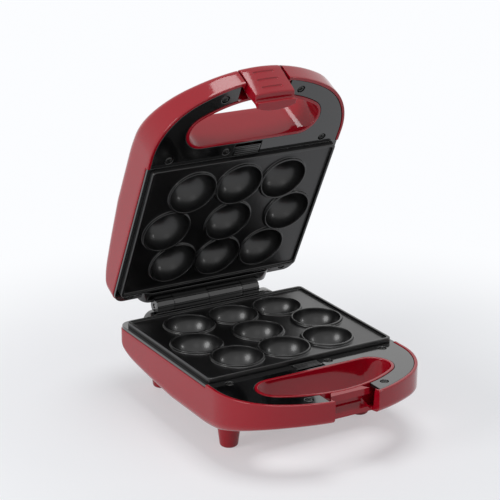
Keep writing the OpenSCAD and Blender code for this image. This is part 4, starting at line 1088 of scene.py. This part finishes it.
def foot_profile():
    """A foot: a straight taper with a rounded end, and the bore of its screw; radius and height from its
    top."""
    end, edge, bore, well = -22.0, 2.4, 1.7, 3.2
    return np.concatenate([
        [(bore, 0), (9.6, 0), (9.9, -0.12), (9.96, -0.4)], [(9.3, -5.6), (8.7, -10.4), (8.1, -15)],
        arc(7.5 - edge, end + edge, edge, 0, -90, 8),
        [(well + 0.4, end), (well + 0.1, end + 0.12), (well, end + 0.4), (well, end + 8.1),
         (bore, end + 8.0)]])


class CAKEPOP_OT_feet(bpy.types.Operator):
    """Builds the four tapered feet"""
    bl_idname = "cakepop.feet"
    bl_label = "Feet"

    def execute(self, context):
        points, faces = turned(foot_profile(), 72, closed=True)
        faces = [f[:, ::-1] for f in faces]
        for name, (x, y) in zip(FEET, feet_places()):
            placed = to_base(points + [x, y, FOOT_TOP])
            obj = new_piece(name + "_turned", placed, faces, red_plastic(), "base", "red_plastic", 35)
            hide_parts(name)
        return {"FINISHED"}


def lens_profile():
    """A lens, as radius and height: half an ellipse for the dome over a straight side."""
    r, rise, base, end = 3.4, 1.1, 0.3, 7.0
    a = np.radians(np.linspace(0, 90, 9))
    dome = np.c_[r * np.sin(a), -rise * np.cos(a) + base]
    dome[0, 0] = 0.01
    return np.concatenate([dome, [(r, end - 0.1), (r - 0.1, end), (0.01, end)]])


class CAKEPOP_OT_lenses(bpy.types.Operator):
    """Builds the two domed lenses on the lid"""
    bl_idname = "cakepop.lenses"
    bl_label = "Lenses"

    def execute(self, context):
        s = context.scene.cake_housing
        points, faces = turned(lens_profile(), 48)
        z = -float(face_depth(np.array(LENS_Y), s)) - s.crown
        for node_name, x, look in (("power_lens", LENS_X, amber_lens), ("ready_lens", -LENS_X, green_lens)):
            placed = to_lid(points + [x, LENS_Y, z])
            obj = new_piece(node_name + "_dome", placed, faces, look(), "lid", look.__name__, 35)
            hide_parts(node_name)
        return {"FINISHED"}


# Materials

def socket(group, name, kind, out=False, default=None):
    """One socket of a node group."""
    item = group.interface.new_socket(name=name, in_out="OUTPUT" if out else "INPUT", socket_type=kind)
    if default is not None:
        item.default_value = default
    return item


def node(tree, kind, **values):
    """A node with its properties set; names with an upper first letter set input sockets."""
    made = tree.nodes.new(kind)
    for key, value in values.items():
        if key[0].isupper():
            made.inputs[key.replace("_", " ")].default_value = value
        else:
            setattr(made, key, value)
    return made


def moulded_group():
    """Grain of a moulded skin: fine bumps for its normal, and a roughness that drifts with handling
    marks."""
    group = bpy.data.node_groups.get("Moulded skin")
    if group:
        return group
    group = bpy.data.node_groups.new("Moulded skin", "ShaderNodeTree")
    socket(group, "Grain size", "NodeSocketFloat", default=900.0)
    socket(group, "Grain height", "NodeSocketFloat", default=0.02)
    socket(group, "Waviness", "NodeSocketFloat", default=0.02)
    socket(group, "Roughness low", "NodeSocketFloat", default=0.15)
    socket(group, "Roughness high", "NodeSocketFloat", default=0.25)
    socket(group, "Normal", "NodeSocketVector", out=True)
    socket(group, "Roughness", "NodeSocketFloat", out=True)
    socket(group, "Shade", "NodeSocketFloat", out=True)
    t = group
    start, end = t.nodes.new("NodeGroupInput"), t.nodes.new("NodeGroupOutput")
    place = node(t, "ShaderNodeTexCoord")
    grain = node(t, "ShaderNodeTexNoise", Detail=2.0, Roughness=0.55)
    waves = node(t, "ShaderNodeTexNoise", Scale=38.0, Detail=1.0)
    marks = node(t, "ShaderNodeTexNoise", Scale=14.0, Detail=5.0, Roughness=0.62)
    small = node(t, "ShaderNodeBump", Distance=0.0002)
    large = node(t, "ShaderNodeBump", Distance=0.002)
    spread = node(t, "ShaderNodeMapRange", clamp=True)
    spread.inputs["From Min"].default_value = 0.35
    spread.inputs["From Max"].default_value = 0.7
    links = [
        (place.outputs["Object"], grain.inputs["Vector"]), (place.outputs["Object"], waves.inputs["Vector"]),
        (place.outputs["Object"], marks.inputs["Vector"]),
        (start.outputs["Grain size"], grain.inputs["Scale"]),
        (grain.outputs["Fac"], small.inputs["Height"]),
        (start.outputs["Grain height"], small.inputs["Strength"]),
        (waves.outputs["Fac"], large.inputs["Height"]), (start.outputs["Waviness"], large.inputs["Strength"]),
        (large.outputs["Normal"], small.inputs["Normal"]), (small.outputs["Normal"], end.inputs["Normal"]),
        (marks.outputs["Fac"], spread.inputs["Value"]),
        (start.outputs["Roughness low"], spread.inputs["To Min"]),
        (start.outputs["Roughness high"], spread.inputs["To Max"]),
        (spread.outputs["Result"], end.inputs["Roughness"]),
        (marks.outputs["Fac"], end.inputs["Shade"]),
    ]
    for a, b in links:
        t.links.new(a, b)
    return group


def finish(name, low, high, rough, grain=(900.0, 0.02), wave=0.02,
           metallic=0.0, coat=0.0, coat_rough=0.05, ior=1.5):
    """A finish: a colour that drifts between two tones over a moulded or cast grain, on a Principled
    shader."""
    name += "_finish"
    material = bpy.data.materials.get(name)
    if material:
        return material
    material = bpy.data.materials.new(name)
    material.use_nodes = True
    t = material.node_tree
    shader = t.nodes["Principled BSDF"]
    skin = node(t, "ShaderNodeGroup", node_tree=moulded_group())
    for key, value in (("Grain size", grain[0]), ("Grain height", grain[1]), ("Waviness", wave),
                       ("Roughness low", rough[0]), ("Roughness high", rough[1])):
        skin.inputs[key].default_value = value
    tone = node(t, "ShaderNodeMix", data_type="RGBA")
    tone.inputs[6].default_value = (*low, 1)
    tone.inputs[7].default_value = (*high, 1)
    t.links.new(skin.outputs["Shade"], tone.inputs[0])
    t.links.new(tone.outputs[2], shader.inputs["Base Color"])
    t.links.new(skin.outputs["Roughness"], shader.inputs["Roughness"])
    t.links.new(skin.outputs["Normal"], shader.inputs["Normal"])
    shader.inputs["Metallic"].default_value = metallic
    shader.inputs["IOR"].default_value = ior
    shader.inputs["Coat Weight"].default_value = coat
    shader.inputs["Coat Roughness"].default_value = coat_rough
    return material


def tones(name, low, high):
    """Two tones of a colour of the finish settings: darker and paler by a factor."""
    colour = getattr(bpy.context.scene.cake_finish, name)
    return [tuple(min(1.0, c * factor) for c in colour) for factor in (low, high)]


def red_plastic():
    """Glossy red moulding."""
    return finish("red_plastic", *tones("red", 0.94, 1.06), (0.06, 0.11), (1400.0, 0.012), ior=1.45)


def black_plastic():
    """Glossy black moulding with a clear coat."""
    return finish("black_plastic", *tones("black", 0.85, 1.2), (0.09, 0.15), (1600.0, 0.03),
                  coat=0.6, coat_rough=0.06, ior=1.55)


def non_stick():
    """Satin non-stick coating."""
    return finish("non_stick", *tones("coating", 0.75, 1.35), (0.3, 0.38), (1100.0, 0.08),
                  coat=0.25, coat_rough=0.14)


def steel(name, factor=1.0, rough=(0.25, 0.4)):
    """Bare metal, paler or darker by a factor."""
    return finish(name, *tones("steel", 0.85 * factor, 1.1 * factor), rough, (700.0, 0.1), 0.0, metallic=1.0)


def screw_steel():
    """Dark steel of the screws."""
    return steel("screw_steel", 0.1, (0.35, 0.45))


def amber_lens():
    """Clear amber plastic."""
    return finish("amber_lens", (0.75, 0.2, 0.02), (0.85, 0.28, 0.04), (0.05, 0.1),
                  (900.0, 0.01), 0.01, coat=0.5)


def green_lens():
    """Clear green plastic."""
    return finish("green_lens", (0.03, 0.3, 0.07), (0.05, 0.4, 0.1), (0.05, 0.1),
                  (900.0, 0.01), 0.01, coat=0.5)


class CAKEPOP_OT_finishes(bpy.types.Operator):
    """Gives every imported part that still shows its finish"""
    bl_idname = "cakepop.finishes"
    bl_label = "Finishes"

    def execute(self, context):
        looks = {
            "black_plastic": black_plastic(), "non_stick": non_stick(), "red_plastic": red_plastic(),
            "screw_steel": screw_steel(), "pin_steel": steel("pin_steel", 0.8),
            "spring_wire": steel("spring_wire"), "heater_sheath": steel("heater_sheath", 0.5, (0.4, 0.55)),
            "reflector_sheet": steel("reflector_sheet", 1.5, (0.2, 0.35)),
            "ceramic": finish(
                "ceramic", (0.62, 0.59, 0.52), (0.74, 0.71, 0.64), (0.6, 0.75), (500.0, 0.2), 0.05),
            "amber_lens": amber_lens(), "green_lens": green_lens(),
            "circuit_board": finish(
                "circuit_board", (0.02, 0.12, 0.05), (0.04, 0.2, 0.08), (0.35, 0.5), (300.0, 0.1)),
            "lamp_glass": finish(
                "lamp_glass", (0.8, 0.6, 0.4), (0.9, 0.7, 0.5), (0.05, 0.1), (900.0, 0.0), 0.0),
        }
        slots = {row["node"]: row["material_slot"] for row in frame["record"]["subparts"]}
        for name, obj in frame["nodes"].items():
            obj.data.materials.clear()
            obj.data.materials.append(looks[slots[name]])
        return {"FINISHED"}


# Stage

# The lamps: name, place, what it looks at, size in metres and power in watts
LAMPS = (
    ("above", (0.1, 0.0, 1.9), (0, 0, 0.1), 1.0, 15),
    ("left", (-1.6, -0.1, 0.8), (0, 0, 0.15), 0.8, 11),
    ("front", (-0.75, -1.3, 1.25), (0, 0, 0.1), 0.8, 0.7),
    ("right", (1.45, -1.15, 0.82), (0, 0.08, 0.2), 0.26, 2.2),
)
# The photograph's camera, in millimetres and degrees, and its focal length in pixels of a 500 pixel frame
CAMERA_AT = (-694.9, -1130.35, 603.3)
CAMERA_TARGET = (-26.5, -10.4, 147.8)
CAMERA_ROLL = 0.33
FOCAL_PIXELS = 1764.78
FRAME_PIXELS = 500
SENSOR = 36


class CAKEPOP_OT_stage(bpy.types.Operator):
    """Makes the floor, the lamps, the world and the camera"""
    bl_idname = "cakepop.stage"
    bl_label = "Stage"

    def execute(self, context):
        context.scene.view_settings.view_transform = "Standard"
        context.scene.world = studio_world()
        corners = np.array([[-6, -6, 0], [6, -6, 0], [6, 6, 0], [-6, 6, 0]], float)
        plane = new_piece("floor", corners, [np.array([[0, 1, 2, 3]])], pale_floor())
        for values in LAMPS:
            lamp(*values)
        make_camera()
        return {"FINISHED"}


def mixed(t, factor, first, second):
    """A mix of two shaders by a factor, as an output."""
    mix = node(t, "ShaderNodeMixShader")
    for source, target in zip((factor, first, second), mix.inputs):
        t.links.new(source, target)
    return mix.outputs[0]


def studio_world():
    """A dim room that shows as white."""
    world = bpy.data.worlds.new("studio")
    world.use_nodes = True
    t = world.node_tree
    t.nodes.clear()
    out = node(t, "ShaderNodeOutputWorld")
    room = node(t, "ShaderNodeBackground", Color=(0.9, 0.94, 1.0, 1), Strength=0.22)
    white = node(t, "ShaderNodeBackground", Color=(1, 1, 1, 1), Strength=1.0)
    t.links.new(mixed(t, seen_rays(t), room.outputs[0], white.outputs[0]), out.inputs[0])
    return world


def pale_floor():
    """A pale floor that takes the lamps' shadows near the maker, under a painted white glow that grows with the
    distance from the maker: painted darker round it, and fading to the white of the world away from it.
    """
    floor = bpy.data.materials.new("pale_floor")
    floor.use_nodes = True
    t = floor.node_tree
    shader = t.nodes["Principled BSDF"]
    shader.inputs["Base Color"].default_value = (0.9, 0.91, 0.93, 1)
    shader.inputs["Roughness"].default_value = 0.6
    shader.inputs["Specular IOR Level"].default_value = 0.2
    # Painted light: an emitted white glow for camera and glossy rays, weaker near the maker so that the floor is
    # painted darker round it, and white far away
    painted_glow = node(t, "ShaderNodeEmission", Color=(0.97, 0.98, 1.0, 1), Strength=1.0)
    part = node(t, "ShaderNodeMath", operation="MULTIPLY")
    place = node(t, "ShaderNodeTexCoord")
    away = node(t, "ShaderNodeVectorMath", operation="LENGTH")
    fade = node(t, "ShaderNodeMapRange", interpolation_type="SMOOTHSTEP", clamp=True)
    for key, value in (("From Min", 0.18), ("From Max", 0.46), ("To Min", 0.42), ("To Max", 1.0)):
        fade.inputs[key].default_value = value
    t.links.new(place.outputs["Object"], away.inputs[0])
    t.links.new(away.outputs["Value"], fade.inputs["Value"])
    t.links.new(seen_rays(t), part.inputs[0])
    t.links.new(fade.outputs["Result"], part.inputs[1])
    surface = mixed(t, part.outputs[0], shader.outputs[0], painted_glow.outputs[0])
    t.links.new(surface, t.nodes["Material Output"].inputs["Surface"])
    return floor


def look_at(at, target):
    """The matrix of a camera or a lamp at a point, turned to look at another."""
    at, target = Vector(at), Vector(target)
    return Matrix.Translation(at) @ (target - at).to_track_quat("-Z", "Y").to_matrix().to_4x4()


def make_camera():
    """The camera that took the photograph."""
    camera = bpy.data.cameras.new("camera")
    camera.lens = FOCAL_PIXELS / FRAME_PIXELS * SENSOR
    camera.sensor_width = SENSOR
    camera.clip_end = 20
    obj = bpy.data.objects.new("camera", camera)
    bpy.context.scene.collection.objects.link(obj)
    view = look_at(Vector(CAMERA_AT) * MM, Vector(CAMERA_TARGET) * MM)
    obj.matrix_world = view @ Matrix.Rotation(math.radians(CAMERA_ROLL), 4, "Z")
    bpy.context.scene.camera = obj


def seen_rays(t):
    """An output that is 1 for the rays that show the background: camera, glossy and transmission rays."""
    path = node(t, "ShaderNodeLightPath")
    seen = path.outputs["Is Camera Ray"]
    for kind in ("Is Glossy Ray", "Is Transmission Ray"):
        larger = node(t, "ShaderNodeMath", operation="MAXIMUM")
        t.links.new(seen, larger.inputs[0])
        t.links.new(path.outputs[kind], larger.inputs[1])
        seen = larger.outputs[0]
    return seen


def lamp(name, at, target, size, power):
    """A soft round lamp that looks at a point."""
    light = bpy.data.lights.new(name, "AREA")
    light.shape, light.size, light.energy = "DISK", size, power
    obj = bpy.data.objects.new(name, light)
    bpy.context.scene.collection.objects.link(obj)
    obj.matrix_world = look_at(at, target)


OPERATORS = (
    CAKEPOP_OT_finishes, CAKEPOP_OT_housings, CAKEPOP_OT_plates, CAKEPOP_OT_decks, CAKEPOP_OT_catches,
    CAKEPOP_OT_screws, CAKEPOP_OT_latch, CAKEPOP_OT_feet, CAKEPOP_OT_lenses, CAKEPOP_OT_stage)


class CAKEPOP_PT_panel(bpy.types.Panel):
    """Lists the maker's pieces"""
    bl_label = "Cake pop maker"
    bl_space_type = "VIEW_3D"
    bl_region_type = "UI"
    bl_category = "Cake pop"

    def draw(self, context):
        for operator in OPERATORS:
            self.layout.operator(operator.bl_idname)


SETTINGS = {
    "cake_housing": HousingSettings, "cake_plate": PlateSettings, "cake_deck": DeckSettings,
    "cake_latch": LatchSettings, "cake_finish": FinishSettings,
}


def register():
    """Registers the settings, the operators and the panel."""
    for kind in (*SETTINGS.values(), *OPERATORS, CAKEPOP_PT_panel):
        bpy.utils.register_class(kind)
    for name, kind in SETTINGS.items():
        setattr(bpy.types.Scene, name, bpy.props.PointerProperty(type=kind))


def unregister():
    """Takes them all away again."""
    for name in SETTINGS:
        delattr(bpy.types.Scene, name)
    for kind in (CAKEPOP_PT_panel, *OPERATORS[::-1], *SETTINGS.values()):
        bpy.utils.unregister_class(kind)


def main():
    """Registers the add-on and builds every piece."""
    register()
    for operator in OPERATORS:
        group, name = operator.bl_idname.split(".")
        getattr(getattr(bpy.ops, group), name)()


if __name__ == "__main__":
    main()
